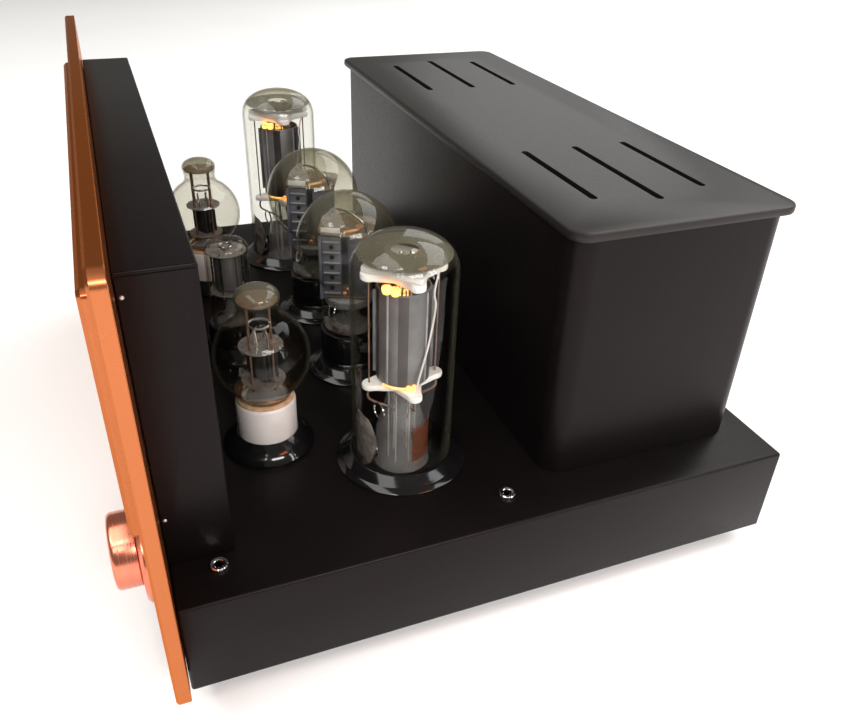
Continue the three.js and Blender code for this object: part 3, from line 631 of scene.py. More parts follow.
def make_housing():
    """The slim box behind the panel, with a seam and two screws on each end."""
    low, high = limits("control_housing")
    inside = brick((low.x + SHEET, low.y - 9, low.z - 9), (high.x - SHEET, high.y - SHEET, high.z - SHEET))
    head = lathe([(0, 0), (1.0, 0), (1.0, 0.2), (0.7, 0.5), (0, 0.6)], 16)
    seams, heads = [], []
    for tilt, side in ((FACING_LEFT, -1), (FACING_RIGHT, 1)):
        x = side * high.x
        seams.append(brick((x - 0.5, low.y - 2, high.z - 2.3), (x + 0.5, high.y - 1.2, high.z - 1.8)))
        heads += [moved(head, x, low.y + 2.2, z, 0, tilt) for z in (high.z - 11, low.z + 29)]
    piece("housing_skin", brick(low, high, 0.9, 3), PAINT, "painted_steel", replaces=["control_housing"],
          cuts=[inside, *seams])
    piece("housing_screws", joined(*heads), STEEL, "shaft_steel")


def make_transformer_cover():
    spot, low, high = measured("transformer_cover")
    layers = [(0, low.z), (0, high.z), (SHEET, high.z), (SHEET, low.z)]
    piece("cover_walls", slab(high.x - low.x, high.y - low.y, 13, layers, True, 14), PAINT, "painted_steel",
          at=(0, spot.y, 0), replaces=["transformer_cover"])


def make_lid():
    """The lid of the cover, with three slots towards each end."""
    spot, low, high = measured("cover_top")
    thick = high.z - low.z
    layers = [(1.6, low.z), (0.5, low.z + 0.5), (0, low.z + 1.5), (0, high.z - 1.5), (0.4, high.z - 0.5),
              (1.3, high.z)]
    inner, row_pitch, slot_width = 75, 34.5, 4.6
    slots = []
    for row, outer in ((-1, 157), (0, 167), (1, 157)):
        slot = slab(outer - inner, slot_width, 2.25, [(0, -thick), (0, thick * 2)], False, 6)
        slots += [moved(slot, side * (inner + outer) / 2, row * row_pitch, low.z) for _, side in SIDES]
    piece("cover_lid", slab(high.x - low.x, high.y - low.y, 10, layers, False, 12), LID_PAINT,
          "painted_steel", at=(0, spot.y, 0), replaces=["cover_top"], cuts=slots, angle=30)


def make_feet():
    low, high = limits("foot_front_right")
    radius, height = (high.x - low.x) / 2, high.z - low.z
    profile = [(0, 1), (radius - 7, 1), (radius - 6, 0), (radius - 2, 0), (radius, 2), (radius - 0.5, 6),
               (radius - 0.5, height - 1.5), (radius - 1.5, height), (0, height)]
    for corner in CORNERS:
        name = f"foot_{corner}"
        spot = middle(name)
        piece(f"{name}_pad", lathe(profile, 48), RUBBER, "rubber", at=(spot.x, spot.y, 0), replaces=[name])


def make_cage_rings():
    """Small chromed bushes, let into the deck, for the pins of a valve guard."""
    bore, barrel = 2.35, 3.3
    for corner in CORNERS:
        name = f"cage_socket_{corner}"
        spot, low, high = measured(name)
        outer, top = (high.x - low.x) / 2, high.z
        profile = [(bore, low.z), (barrel, low.z), (barrel, DECK + GAP), (outer, DECK + GAP),
                   (outer, top - 0.5), (outer - 0.5, top), (3.1, top), (2.5, top - 0.4), (bore, top - 1)]
        piece(f"{name}_bush", lathe(profile, 40, True), CHROME, "chrome", at=(spot.x, spot.y, 0),
              replaces=[name])


def paint_kept_nodes():
    """The CAD nodes that stay: inside pieces and the bottom plate."""
    looks = {
        "bottom_plate": PAINT, "mains_transformer": IRON, "output_transformer_left": IRON,
        "output_transformer_right": IRON, "circuit_board": BOARD, "power_switch_body": BLACK_PLASTIC,
        "selector_switch_body": BLACK_PLASTIC, "volume_pot_body": STEEL, "volume_shaft": STEEL,
        "selector_shaft": STEEL,
    }
    for name, material in looks.items():
        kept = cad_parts[name]
        kept.data.materials.clear()
        kept.data.materials.append(material)
        smooth(kept)


# ---------------------------------------------------------------- controls and meters

def turned_piece(node_name, profile, steps, slot, body="chassis", closed=False):
    """A part that was turned on a lathe, standing out to the front from the back of its node."""
    spot, _, high = measured(node_name)
    shape = moved(lathe(profile, steps, closed), tilt=FACING_FRONT)
    piece(f"{node_name}_turned", shape, KNOB, slot, body, (spot.x, high.y, spot.z), [node_name])


def make_knob(which):
    """A turned knob with a soft front edge, a shallow dish in its face and a small marker."""
    node_name = f"{which}_knob"
    spot, low, high = measured(node_name)
    radius, length = (high.x - low.x) / 2, high.y - low.y
    body = "volume_control" if which == "volume" else "source_selector"
    bore = 4
    profile = [(0, length - 4), (bore, length - 4), (bore, 0), (radius - 0.6, 0), (radius, 0.6),
               (radius, length - 2.2), (radius - 0.4, length - 1), (radius - 1.2, length - 0.3),
               (radius - 2.4, length), (radius - 5, length), (radius - 6, length - 0.5), (0, length - 0.9)]
    turned_piece(node_name, profile, 96, "knob_copper", body)
    mark = brick((-0.6, -0.4, 0), (0.6, 0.15, 5), 0.15, 1)
    piece(f"{which}_knob_mark", mark, INK, "needle_black", body,
          (spot.x, low.y + 0.45, spot.z + radius - 11.5))


def make_bezel(which):
    low, high = limits(f"{which}_bezel")
    radius, thick = (high.x - low.x) / 2, high.y - low.y
    profile = [(5, 0), (radius, 0), (radius, thick - 1.6), (radius - 1.6, thick), (22.5, thick),
               (21.5, thick - 1), (5, thick - 1)]
    turned_piece(f"{which}_bezel", profile, 96, "anodised_copper", closed=True)


def make_button():
    low, high = limits("power_button")
    radius, length = (high.x - low.x) / 2, high.y - low.y
    profile = [(0, 0), (3, 0), (3, 4), (radius, 4), (radius, length - 1.2), (radius - 1.2, length),
               (radius - 3, length - 0.2), (0, length - 0.7)]
    turned_piece("power_button", profile, 64, "knob_copper", "power_button")


def make_scale(side, pivot, dial):
    """A plain scale printed on the card: 21 strokes on an arc, the last few in red."""
    radius, reach, red_from, count = 48, 42, 21, 20
    strokes, red = [], []
    for i in range(count + 1):
        major = i % 5 == 0
        half, outer = (0.45, 53) if major else (0.25, 50.5)
        angle = math.radians(2 * reach * i / count - reach)
        stroke = moved(brick((-half, -0.1, radius), (half, 0, outer)), tilt=Matrix.Rotation(angle, 3, "Y"))
        (red if i > 15 else strokes).append(moved(stroke, pivot.x, dial - 0.5, pivot.z))
    for marks, start, end in ((strokes, -reach, red_from), (red, red_from, reach)):
        angles = [math.radians(start + (end - start) * i / 24) for i in range(25)]
        marks.append(rod([(pivot.x + radius * math.sin(a), dial - 0.55, pivot.z + radius * math.cos(a))
                          for a in angles], 0.28, 6))
    piece(f"meter_scale_{side}", joined(*strokes), INK, "needle_black")
    piece(f"meter_scale_red_{side}", joined(*red), RED_INK, "needle_black")


def make_needle(side, pivot, tail, half):
    """A tapered needle with its hub and a balance weight, leaning 45 degrees to the left at rest."""
    node_name, length, hub = f"meter_needle_{side}", 50, 3.6
    pointer = [(-half, -tail), (half, -tail), (half, 0), (0.2, length), (-0.2, length), (-half, 0)]
    blade = moved(prism(pointer, 0, 0.7), 0, -1.4, 0, 0, FACING_FRONT)
    weight = moved(cylinder(1.6, 0, 0.9, 20), 0, -1.3, -4.6, 0, FACING_FRONT)
    lean = Matrix.Rotation(math.radians(-45), 3, "Y")
    cap = moved(lathe([(0, 0), (hub, 0), (hub, 1.8), (hub - 1, 2.6), (0, 2.7)], 32), tilt=FACING_FRONT)
    part = joined(moved(cap, 0, 0.2), moved(joined(blade, weight), tilt=lean))
    piece(f"{node_name}_blade", part, INK, "needle_black", f"needle_{side}",
          (pivot.x, limits(node_name)[1].y - 0.4, pivot.z), [node_name])


def make_meter(side):
    """A meter: case, card with a plain scale, needle with a balance tail, and its window."""
    low, high = limits(f"meter_case_{side}")
    dial = high.y - 23.5
    tray = brick((low.x + SHEET, low.y - 5, low.z + SHEET), (high.x - SHEET, dial, high.z - SHEET))
    piece(f"meter_case_{side}_moulding", brick(low, high, 0.8), BLACK_PLASTIC, "black_plastic",
          replaces=[f"meter_case_{side}"], cuts=[tray])
    card = brick((low.x + 2.2, dial - 0.5, low.z + 2.2), (high.x - 2.2, dial - 0.05, high.z - 2.2), 0.15, 1)
    piece(f"meter_card_{side}", card, DIAL, "meter_dial")
    # The needle rests at 45 degrees, so its hub is one tail's length in from its lower right corner.
    tail, half = 6, 0.55
    needle_low, needle_high = limits(f"meter_needle_{side}")
    inset = (tail + half) * math.sqrt(0.5)
    pivot = Vector((needle_high.x - inset, 0, needle_low.z + inset))
    make_scale(side, pivot, dial)
    stop = brick((pivot.x - 11, dial - 1.6, low.z + 2.4), (pivot.x + 11, dial - 0.6, low.z + 5), 0.4, 2)
    piece(f"meter_stop_{side}", stop, BLACK_PLASTIC, "black_plastic")
    make_needle(side, pivot, tail, half)
    margin = 6.3
    glass_y = limits("meter_surround")[1].y - 1.2
    pane = brick((low.x + margin, glass_y - 1.2, low.z + margin), (high.x - margin, glass_y, high.z - margin),
                 0.2, 1)
    piece(f"meter_window_{side}", pane, WINDOW, "valve_glass")


# ---------------------------------------------------------------- valve parts
# Heights in the valves are above the deck.

def dome(radius, shoulder, top, steps=14, squareness=2.3):
    """The profile of a bulb's top. It is an ellipse at a squareness of 2, and boxier above that."""
    points = []
    for i in range(steps + 1):
        angle = math.pi / 2 * i / steps
        r = 0 if i == steps else radius * math.cos(angle) ** (2 / squareness)
        points.append((r, shoulder + (top - shoulder) * math.sin(angle) ** (2 / squareness)))
    return points


def arc(radius, centre, start, end, steps):
    """The profile of a part of a ball whose middle is on the axis, at height centre."""
    return [(radius * math.cos(math.radians(a)), centre + radius * math.sin(math.radians(a)))
            for a in [start + (end - start) * i / steps for i in range(steps + 1)]]


def eased(profile):
    """Rounds the corners of a profile that ends on the axis."""
    path = bent([(r, 0, z) for r, z in profile], 4)
    return [(max(p.x, 0.0), p.z) for p in path[:-1]] + [(0, profile[-1][1])]


def eased_neck(neck, start, ball, centre, angle):
    """A smooth run from a straight neck out to the ball, as a Bezier curve."""
    steps, turn = 8, math.radians(angle)
    end = Vector((ball * math.cos(turn), centre + ball * math.sin(turn)))
    reach = (end.y - start) * 0.5
    corners = [Vector((neck, start)), Vector((neck, start + reach)),
               end - reach * Vector((-math.sin(turn), math.cos(turn))), end]
    points = []
    for t in [i / steps for i in range(steps)]:
        weights = (1 - t) ** 3, 3 * t * (1 - t) ** 2, 3 * t * t * (1 - t), t ** 3
        points.append(tuple(sum((w * p for w, p in zip(weights, corners)), Vector((0, 0)))))
    return points


def bulb(outline):
    """A glass envelope with a wall, open below."""
    wall, inner = 1.0, []
    for i, (r, z) in enumerate(outline):
        back, ahead = outline[max(i - 1, 0)], outline[min(i + 1, len(outline) - 1)]
        along = Vector((ahead[0] - back[0], ahead[1] - back[1])).normalized()
        on_axis = i == len(outline) - 1
        inner.append((0.0 if on_axis else max(r - along.y * wall, 0.0), z + along.x * wall))
    return lathe(inner[::-1] + outline, 72, True)


def collar(bore, flange, top, dome_like=False):
    """The ring round a valve's foot. It is bevelled, or domed for the small valves."""
    if dome_like:
        edge = [(flange, 0.3), (flange, 1.4), (flange - 0.5, 2.4)]
        rises = [math.sin(math.pi / 2 * t / 6) for t in range(1, 7)]
        slope = [(flange - 0.5 - (flange - bore - 1) * rise ** 1.6, 2.4 + (top - 2.4) * rise)
                 for rise in rises]
        return edge + slope + [(bore, top)]
    bevel = bore + 1 + (top - 2.8)
    return [(flange, 0.3), (flange, 1.0), (flange - 0.6, 1.5), (bevel + 0.4, 2.7), (bevel, 2.9),
            (bore + 1.2, top - 0.15), (bore + 0.8, top), (bore, top)]


def make_socket(node_name, top, dome_like=False):
    spot, low, high = measured(node_name)
    flange = (high.x - low.x) / 2
    bore, floor = flange - 9.2, low.z - DECK + 3
    profile = [(0, floor - 3), (bore + 3, floor - 3), (bore + 3, 0.3)] + collar(bore, flange, top, dome_like)
    profile += [(bore, floor), (0, floor)]
    piece(f"{node_name}_ring", lathe(profile, 96), BAKELITE, "bakelite", at=(spot.x, spot.y, DECK),
          replaces=[node_name], angle=25)


def eared_plate(reach, ear, waist, bottom, top):
    """A ceramic spacer: a plate with four round ears and hollow sides."""
    outline = []
    for a in (0, 90, 180, 270):
        (x, y), = round_spots(reach, (a,))
        turns = [a - 100 + 200 * i / 8 for i in range(9)]
        outline += [(x + dx, y + dy) for dx, dy in round_spots(ear, turns)]
        outline += round_spots(waist, (a + 45,))
    return prism(outline, bottom, top, 0.6)


def upright_rods(spots, bottom, top, radius):
    return [rod([(x, y, bottom), (x, y, top)], radius) for x, y in spots]


def round_spots(radius, angles):
    return [(radius * math.cos(math.radians(a)), radius * math.sin(math.radians(a))) for a in angles]


def patch(radius, centre, spread, z_middle, z_half, ragged=0.12):
    """A thin patch of film that follows the inside of a round bulb."""
    points, faces, rings, steps = [], [], 6, 40
    for layer in (0, 0.15):
        base = len(points)
        points.append((centre, z_middle, layer))
        for k in range(1, rings + 1):
            for i in range(steps):
                t = math.tau * i / steps
                wobble = 1 + ragged * (math.sin(3 * t + centre) + 0.6 * math.sin(7 * t + 1)) * k / rings
                points.append((centre + spread * k / rings * wobble * math.cos(t),
                               z_middle + z_half * k / rings * wobble * math.sin(t), layer))
        for i in range(steps):
            j = (i + 1) % steps
            faces.append([base, base + 1 + i, base + 1 + j])
            for k in range(rings - 1):
                a = base + 1 + k * steps
                faces.append([a + i, a + steps + i, a + steps + j, a + j])
    size, rim = 1 + rings * steps, 1 + (rings - 1) * steps
    for i in range(steps):
        j = (i + 1) % steps
        faces.append([rim + i, rim + j, size + rim + j, size + rim + i])
    return [((radius - d) * math.cos(math.radians(a)), (radius - d) * math.sin(math.radians(a)), z)
            for a, z, d in points], faces


def pinch(foot, neck, bottom, top, width):
    """The glass stem that carries the electrodes: a flared tube squeezed flat at its top."""
    loops = []
    for t in [i / 14 for i in range(15)]:
        z = bottom + (top - bottom) * t
        radius = neck + (foot - neck) * max(0, 1 - t * 3) ** 2
        squeeze = max(0.0, (t - 0.4) / 0.6)
        a = radius + (width - radius) * squeeze
        b = radius * (1 - 0.55 * squeeze)
        angles = [math.tau * i / 32 for i in range(32)]
        loops.append([(a * math.cos(angle), b * math.sin(angle), z) for angle in angles])
    return stacked(loops)


def sector(inner, outer, start, end):
    """The outline of a curved strip between two angles."""
    steps = 10
    angles = [start + (end - start) * i / steps for i in range(steps + 1)]
    return round_spots(outer, angles) + round_spots(inner, angles[::-1])


def ring(radius, thick, steps):
    """A ring of round wire."""
    angles = [math.tau * i / 10 for i in range(10)]
    section = [(radius + thick * math.cos(angle), thick * math.sin(angle)) for angle in angles]
    return lathe(section, steps, True)


# ---------------------------------------------------------------- the seven valves

def valve(kind, tail):
    """The radius and height of a valve's glass, and a function that adds a piece to that valve."""
    spot, low, high = measured(f"{kind}_tube_glass{tail}")

    def add(name, part, material, slot, **more):
        return piece(f"{kind}_{name}{tail}", part, material, slot, f"{kind}_tube{tail}",
                     (spot.x, spot.y, DECK), **more)

    return (high.x - low.x) / 2, high.z - DECK, add


def make_power_valve(side):
    """A large straight valve with its filament alight: glass, foot and stem, then what stands on them."""
    radius, top, add = valve("power", f"_{side}")
    outline = [(radius - 1, 0.5), (radius, 2.5), (radius, 40), (radius, 90)] + dome(radius, top - 19.7, top)
    add("bulb", bulb(outline), POWER_GLASS, "valve_glass", replaces=[f"power_tube_glass_{side}"])
    foot = lathe([(0, -38), (24, -38), (26.5, -36), (27.5, -33), (27.5, -3), (26.5, -2), (0, -2)], 64)
    contacts = [moved(cylinder(2.4, -37, -36, 12), x, y) for x, y in round_spots(12, (45, 135, 225, 315))]
    add("foot", joined(foot, *contacts), BAKELITE, "bakelite", replaces=[f"power_tube_electrodes_{side}"])
    add("stem", pinch(16.5, 15, -1.5, 48, 10), STEM_GLASS, "valve_glass")
    # This sheet on the side of the stem is a painted reflection of the copper.
    add("stem_tint", prism(sector(15.2, 15.5, 4, 80), 0, 29), PAINTED_COPPER_REFLECTION, "valve_glass")
    stem_wires = upright_rods(round_spots(7.5, range(15, 375, 60)), -1, 47, 0.45)
    add("stem_wires", joined(*stem_wires), TINNED_WIRE, "plate_grey")
    add_power_anode(add)
    add_power_wires(add)
    add_power_glow(add)
    add_power_top(add)
    add_power_getter(add, radius)


def add_power_anode(add):
    """The grey anode with its ribs, between two white spacers, and dark bands of painted shade on it. The
    ribs stand for its seams; their lighter colour is a painted highlight.
    """
    spacers = [eared_plate(19.4, 4.1, 11.5, 51.4, 54.8), eared_plate(19.6, 4.2, 13, 117.8, 121.8)]
    rail = brick((-17, -3.2, 0), (17, 3.2, 3.4), 0.8)
    spacers += [moved(rail, sign * 9.3, -sign * 9.3, 122, 45) for sign in (1, -1)]
    add("spacers", joined(*spacers), SPACER, "ceramic")
    radius, bottom, top = 14.6, 57, 111.5
    shell = [(radius - 0.3, bottom - 0.4), (radius, bottom), (radius, top), (radius - 0.3, top + 0.5),
             (radius - 1, top + 0.5), (radius - 1, bottom - 0.4)]
    wings = [moved(brick((14, -0.5, 60), (16.6, 0.3, 110), 0.3), spin=a) for a in (80, 260)]
    add("anode", joined(lathe(shell, 72, True), *wings), ANODE, "plate_grey")
    # The ribs stand for the anode's seams; their lighter plate colour is a painted highlight.
    rib = brick((14.2, -0.6, bottom), (15.2, 0.6, top), 0.4)
    add("anode_ribs", joined(*[moved(rib, spin=a) for a in (35, 125, 215, 305)]), LIGHT_PLATE, "plate_grey")
    # Thin dark sheets where the anode looks darker from how light falls on it: painted shade.
    shade_bands = [prism(sector(14.5, 14.75, start, end), bottom, top)
             for start, end in ((-31, -10), (40, 74), (-108, -82))]
    add("anode_bands", joined(*shade_bands), ANODE_SHADE, "plate_grey")
    grid = [coil(8.5, 60, 116, 22, 0.25)] + upright_rods(round_spots(8.5, (0, 180)), 40, 120, 0.6)
    add("grid", joined(*grid), NICKEL, "plate_grey")


def add_power_wires(add):
    """Three posts beside the anode, four bent legs below it and a tinned lead down its right side."""
    wires = upright_rods(round_spots(19.4, (90, 180, 270)), 52, 126, 0.5)
    for a in (0, 90, 180, 270):
        (x0, y0), (x1, y1) = round_spots(19.4, (a,))[0], round_spots(8, (a + 20,))[0]
        wires.append(rod(bent([(x0, y0, 52), (x0, y0, 44), (x1, y1, 37), (x1 * 0.8, y1 * 0.4, 30)]), 0.7))
    add("supports", joined(*wires), BROWN_WIRE, "plate_grey")
    lead = bent([(2.5, 18.5, 119), (8, 13.8, 108.6), (10.3, 13.8, 101.6), (12.5, 10.5, 84.8), (14, 7.5, 74),
                 (17, 3, 62.4), (18.4, 1, 54)])
    add("lead", rod(lead, 0.6), TINNED_WIRE, "plate_grey")


def add_power_glow(add):
    """The lit filament: hairpins in the anode. Glowing spots above and below the anode and a glowing rim on
    its lower edge are painted glow, for the filament's light seen there.
    """
    hairpins = []
    for x in (-4.5, 0, 4.5):
        path = bent([(x, -2, 56), (x, -2, 107), (x, 0, 110), (x, 2, 107), (x, 2, 56)], 5)
        hairpins.append(rod(path, 0.35, 6))
    add("filament", joined(*hairpins), GLOW, "plate_grey")
    # Painted glow: these spots and the rim are not hot parts; they stand for the filament's light showing
    # round the anode.
    lobe = lathe(eased([(0, 112.8), (1.9, 113.3), (2.5, 115.2), (2.4, 117.2), (0, 117.7)]), 24)
    ember = lathe(eased([(0, 54.9), (1.4, 55.3), (1.7, 56.6), (1.0, 58), (0, 58.4)]), 20)
    spots = [moved(lobe, x, y) for x, y in round_spots(16.4, (-36, -53))]
    spots += [moved(ember, x, y) for x, y in round_spots(15.4, (4, -8))]
    rim = rod([(x, y, 56) for x, y in round_spots(14.6, range(-66, 0, 6))], 0.7)
    add("hot_ends", joined(*spots, rim), GLOW, "plate_grey")


def add_power_top(add):
    """What shows through the dome: a copper bar and ring, a film of getter, a cap and three springs."""
    bar = brick((-13, -2.2, 126), (11, 2.2, 127), 0.4)
    clips = [moved(bar, 6, 6, 0, 100), moved(ring(4.5, 0.9, 24), 9, 12, 127.5)]
    add("top_clips", joined(*clips), DULL_COPPER, "knob_copper")
    disc = [(7.2, 131.6), (16, 131.4), (24.6, 130.2), (24.6, 129.9), (16, 131.1), (7.2, 131.3)]
    add("getter_disc", lathe(disc, 64, True), OLIVE_FILM, "valve_glass")
    cap = lathe([(0, 124), (2.4, 124), (2.4, 131), (1.9, 131.6), (0, 131.6)], 24)
    springs = [moved(coil(1.3, 122, 128, 5, 0.25), x, y) for x, y in ((-4.5, 0), (0, 3), (4.5, -2))]
    add("top_springs", joined(moved(cap, 3, 4), *springs), CHROME, "chrome")


def add_power_getter(add, radius):
    """Getter films on the glass to the left of the stem, and two rings that stand in front of them."""
    facing = -75
    add("getter_film", patch(radius - 1.6, facing, 23, 23, 18, 0.05), MIRROR, "chrome")
    add("getter_stain", patch(radius - 2.0, -68, 11, 13, 8), BROWN_FILM, "chrome")
    standing = Matrix.Rotation(math.radians(facing), 3, "Z") @ FACING_RIGHT
    rings = [moved(ring(size, 0.6, 32), x, y, z, 0, standing)
             for size, x, y, z in ((7.5, 5.6, -21, 16), (5, 4, -15, 37))]
    add("getter_rings", joined(*rings), CHROME, "chrome")


def make_driver_valve(side):
    """A balloon-shaped valve: ribbed plates under a sloped mica, on a black foot with a silver band."""
    radius, top, add = valve("driver", f"_{side}")
    centre = top - radius
    outline = [(16.4, 31.4), (16.9, 34), (17.4, 42)] + eased_neck(17.8, 50, radius, centre, -44)
    outline += arc(radius, centre, -40, 90, 26)
    outline[-1] = (0, top)
    add("bulb", bulb(outline), GLASS, "valve_glass", replaces=[f"driver_tube_glass_{side}"])
    foot = [(0, -20), (15, -20), (19, -18), (19.2, -16), (19.2, 6.2), (18.9, 6.4), (18.9, 10.6), (19.2, 10.8),
            (19.2, 29), (18.6, 30.6), (17.6, 31), (0, 31)]
    add("foot", lathe(foot, 64), BAKELITE, "bakelite", replaces=[f"driver_tube_base_{side}"])
    band = [(18.6, 6.6), (19.4, 6.6), (19.6, 7), (19.6, 10), (19.4, 10.4), (18.6, 10.4)]
    add("band", lathe(band, 64, True), CHROME, "chrome")
    add("stem", pinch(15, 8, 31.4, 50, 12), STEM_GLASS, "valve_glass")
    turn = -24
    add_driver_plates(add, side, turn)
    add_driver_top(add, turn)
    add_driver_wires(add)


def add_driver_plates(add, side, turn):
    """Two flat anodes side by side, a narrow ribbed one towards the front, and a skirt under them."""
    ladder = [brick((9.5, -15.5, 56), (11, -2.5, 99), 0.5), brick((9.6, -16.6, 56), (12.6, -14.6, 99), 0.5)]
    ribs = [brick((10.5, -14, z), (12.4, -3.4, z + 1.1), 0.4) for z in range(60, 98, 7)]
    plain = brick((6, 1.5, 56), (11, 14.5, 99), 0.8)
    back = brick((-11, -14, 56), (-6, 14, 99), 0.8)
    skirt = lathe(eased([(0, 47.5), (9, 48), (14.5, 49.6), (15.6, 53), (14.6, 56.5), (0, 57.5)]), 48)
    add("plates", moved(joined(*ladder, plain, back), spin=turn), BLUE_PLATE, "plate_grey",
        replaces=[f"driver_tube_electrodes_{side}"])
    add("ribs", moved(joined(*ribs), spin=turn), LIGHT_PLATE, "plate_grey")
    add("skirt", skirt, LIGHT_PLATE, "plate_grey")
    # Dark discs on the ribbed anode stand for its holes: painted shade where the holes would show dark.
    disc = cylinder(1.5, 0, 0.3, 16)
    holes = [moved(disc, 11, -8.6, z + 4.2, 0, FACING_RIGHT) for z in range(60, 92, 7)]
    add("holes", moved(joined(*holes), spin=turn), DARK_PLATE, "plate_grey")


def add_driver_top(add, turn):
    """The two micas, a white flag above the ribbed anode and a small glowing rod beside it."""
    tilt = Matrix.Rotation(math.radians(8), 3, "Y")
    top_mica = moved(slab(27, 34, 5, [(0, 0), (0, 0.5)], False, 5), 0, 0, 102, turn, tilt)
    low_mica = moved(slab(24, 30, 5, [(0, 0), (0, 0.5)], False, 5), 0, 0, 57.6, turn)
    add("micas", joined(top_mica, low_mica), TAN_MICA, "ceramic")
    flag = brick((9.8, -15, 99.6), (11, -3, 104.6), 0.4)
    add("white_flag", moved(flag, spin=turn), WHITE_MICA, "ceramic")
    ember = rod([(9.5, -1, 101.8), (9.5, 8, 104)], 0.8)
    add("ember", moved(ember, spin=turn), DIM_GLOW, "plate_grey")


def add_driver_wires(add):
    """Springs on the top mica, legs below, a frame of heavy wire, the filament and the getter."""
    wires = [moved(coil(1.2, 102, 110, 6, 0.25), x, y) for x, y in ((-8, -4), (0, 0), (8, 4), (-4, 5))]
    for a in (20, 110, 200, 290):
        (x0, y0), (x1, y1) = round_spots(11, (a,))[0], round_spots(6, (a + 8,))[0]
        wires.append(rod(bent([(x0, y0, 57), (x0, y0, 51), (x1, y1, 46), (x1, y1 * 0.5, 40)]), 0.6))
    add("wires", joined(*wires), GOLD, "shaft_steel")
    frame_wire = rod(bent([(-14, -8, 102), (-12, -6, 109), (0, 0, 111.5), (12, 6, 109), (14, 8, 102)]), 0.7)
    getter = moved(ring(5.0, 0.8, 28), 9, -14, 50, 0, Matrix.Rotation(1.2, 3, "X"))
    add("frame_wires", joined(frame_wire, getter, *upright_rods(round_spots(12.5, (62, 242)), 44, 104, 0.7)),
        CHROME, "chrome")
    add("filament", joined(*upright_rods([(-5, 4), (0, 0), (5, -4)], 57, 58.5, 1.2)), DIM_GLOW, "plate_grey")
    add("getter_film", patch(17.2, -60, 40, 38, 4.5, 0.1), MIRROR, "chrome")


def make_input_valve(side):
    """A globe-shaped valve with a waisted top, on a white ceramic foot."""
    radius, top, add = valve("input", f"_{side}")
    centre = 60.7
    outline = [(14.4, 32.8), (15.2, 35)] + arc(radius, centre, -54, 58, 22)
    outline += [(12.6, 85.6), (11.6, 88), (11.5, 91), (12, 94.5)] + dome(12.4, 96, top, 10, 2.4)
    add("bulb", bulb(outline), INPUT_GLASS, "valve_glass")
    foot = [(0, -8), (16, -8), (17.3, -6), (17.3, 30.4), (16.9, 31.6), (16, 32.4), (0, 32.4)]
    add("foot", lathe(foot, 64), CERAMIC, "ceramic",
        replaces=[f"input_tube_base_{side}", f"input_tube_glass_{side}"])
    cement = [(13.6, 32.5), (16.6, 32.5), (16.5, 33.4), (15.6, 34.2), (14.4, 34.4), (13.6, 34)]
    add("cement", lathe(cement, 64, True), CERAMIC_RIM, "ceramic")
    film = [(13.4, 34.4), (15.0, 35.2), (17.2, 38.6), (17.0, 38.8), (14.6, 35.8), (13.2, 35)]
    add("getter_ring", lathe(film, 64, True), BROWN_FILM, "knob_copper")
    add("stem", pinch(11, 6, 33, 43, 8), STEM_GLASS, "valve_glass")
    disc = cylinder(12.4, 0, 0.5, 48)
    add("micas", joined(moved(disc, 0, 0, 66.6), moved(disc, 0, 0, 44.4)), MICA, "ceramic")
    block = [brick((-5.5, -4, 45.2), (5.5, 4, 66.4), 0.8)]
    block += [moved(brick((5, -0.4, 47), (9.5, 0.4, 64), 0.3), spin=a) for a in (20, 160, 200, 340)]
    add("anode", moved(joined(*block), spin=35), DARK_PLATE, "plate_grey")
    posts = upright_rods(round_spots(8.6, (35, 125, 215, 305)), 40, 95, 0.65)
    add("posts", joined(*posts), BROWN_WIRE, "plate_grey")
    top_ring = moved(ring(6.0, 0.7, 32), 0, 0, 80)
    hoops = [rod(bent([(-6.5, y, 67), (-4, y, 74), (0, y, 76), (4, y, 74), (6.5, y, 67)]), 0.5)
             for y in (-3, 3)]
    add("hoops", joined(top_ring, *hoops), NICKEL, "plate_grey")
    cap = lathe([(0, 94.6), (10.9, 94.6), (11.2, 95.4), (0, 95.2)], 48)
    add("top_mica", cap, BROWN_MICA, "ceramic")


def make_middle_valve():
    """The small straight valve in the middle of the front row."""
    radius, top, add = valve("middle", "")
    outline = [(radius - 0.8, 24.5), (radius, 27), (radius, 45), (radius, 60)]
    outline += dome(radius, top - 7.5, top, 12, 2.8)
    add("bulb", bulb(outline), GLASS, "valve_glass", replaces=["middle_tube_glass"])
    foot = [(0, -8), (15, -8), (17, -6), (17, 22), (16.2, 23.6), (15, 24), (0, 24)]
    add("foot", lathe(foot, 64), BAKELITE, "bakelite", replaces=["middle_tube_base"])
    add("stem", pinch(11, 6, 24.4, 40, 8), STEM_GLASS, "valve_glass")
    disc = cylinder(13.1, 0, 0.5, 48)
    add("micas", joined(moved(disc, 0, 0, 76.2), moved(disc, 0, 0, 48)), MICA, "ceramic")
    anode = [(8.7, 50.4), (8.9, 50.8), (8.9, 75.4), (8.7, 75.8), (8.2, 75.8), (8.2, 50.4)]
    seams = [moved(brick((8.5, -0.6, 50.8), (10.4, 0.6, 75.4), 0.3), spin=a) for a in (30, 210)]
    add("anode", joined(lathe(anode, 48, True), *seams), ANODE, "plate_grey")
    posts = upright_rods(round_spots(11, (60, 150, 240, 330)), 38, 78.5, 0.6)
    add("wires", joined(cylinder(1.6, 49, 79, 20), *posts), NICKEL, "plate_grey")
    add("getter", moved(ring(4.2, 0.6, 28), 0, 0, 79.6), CHROME, "chrome")


# ---------------------------------------------------------------- back panel

def rear_plate(name):
    """A plate on the back wall, then the middle, lowest and highest corners of its node."""
    spot, low, high = measured(name)
    return brick((low.x, REAR_WALL + GAP, low.z), (high.x, REAR_FACE, high.z), 0.6, 2), spot, low, high


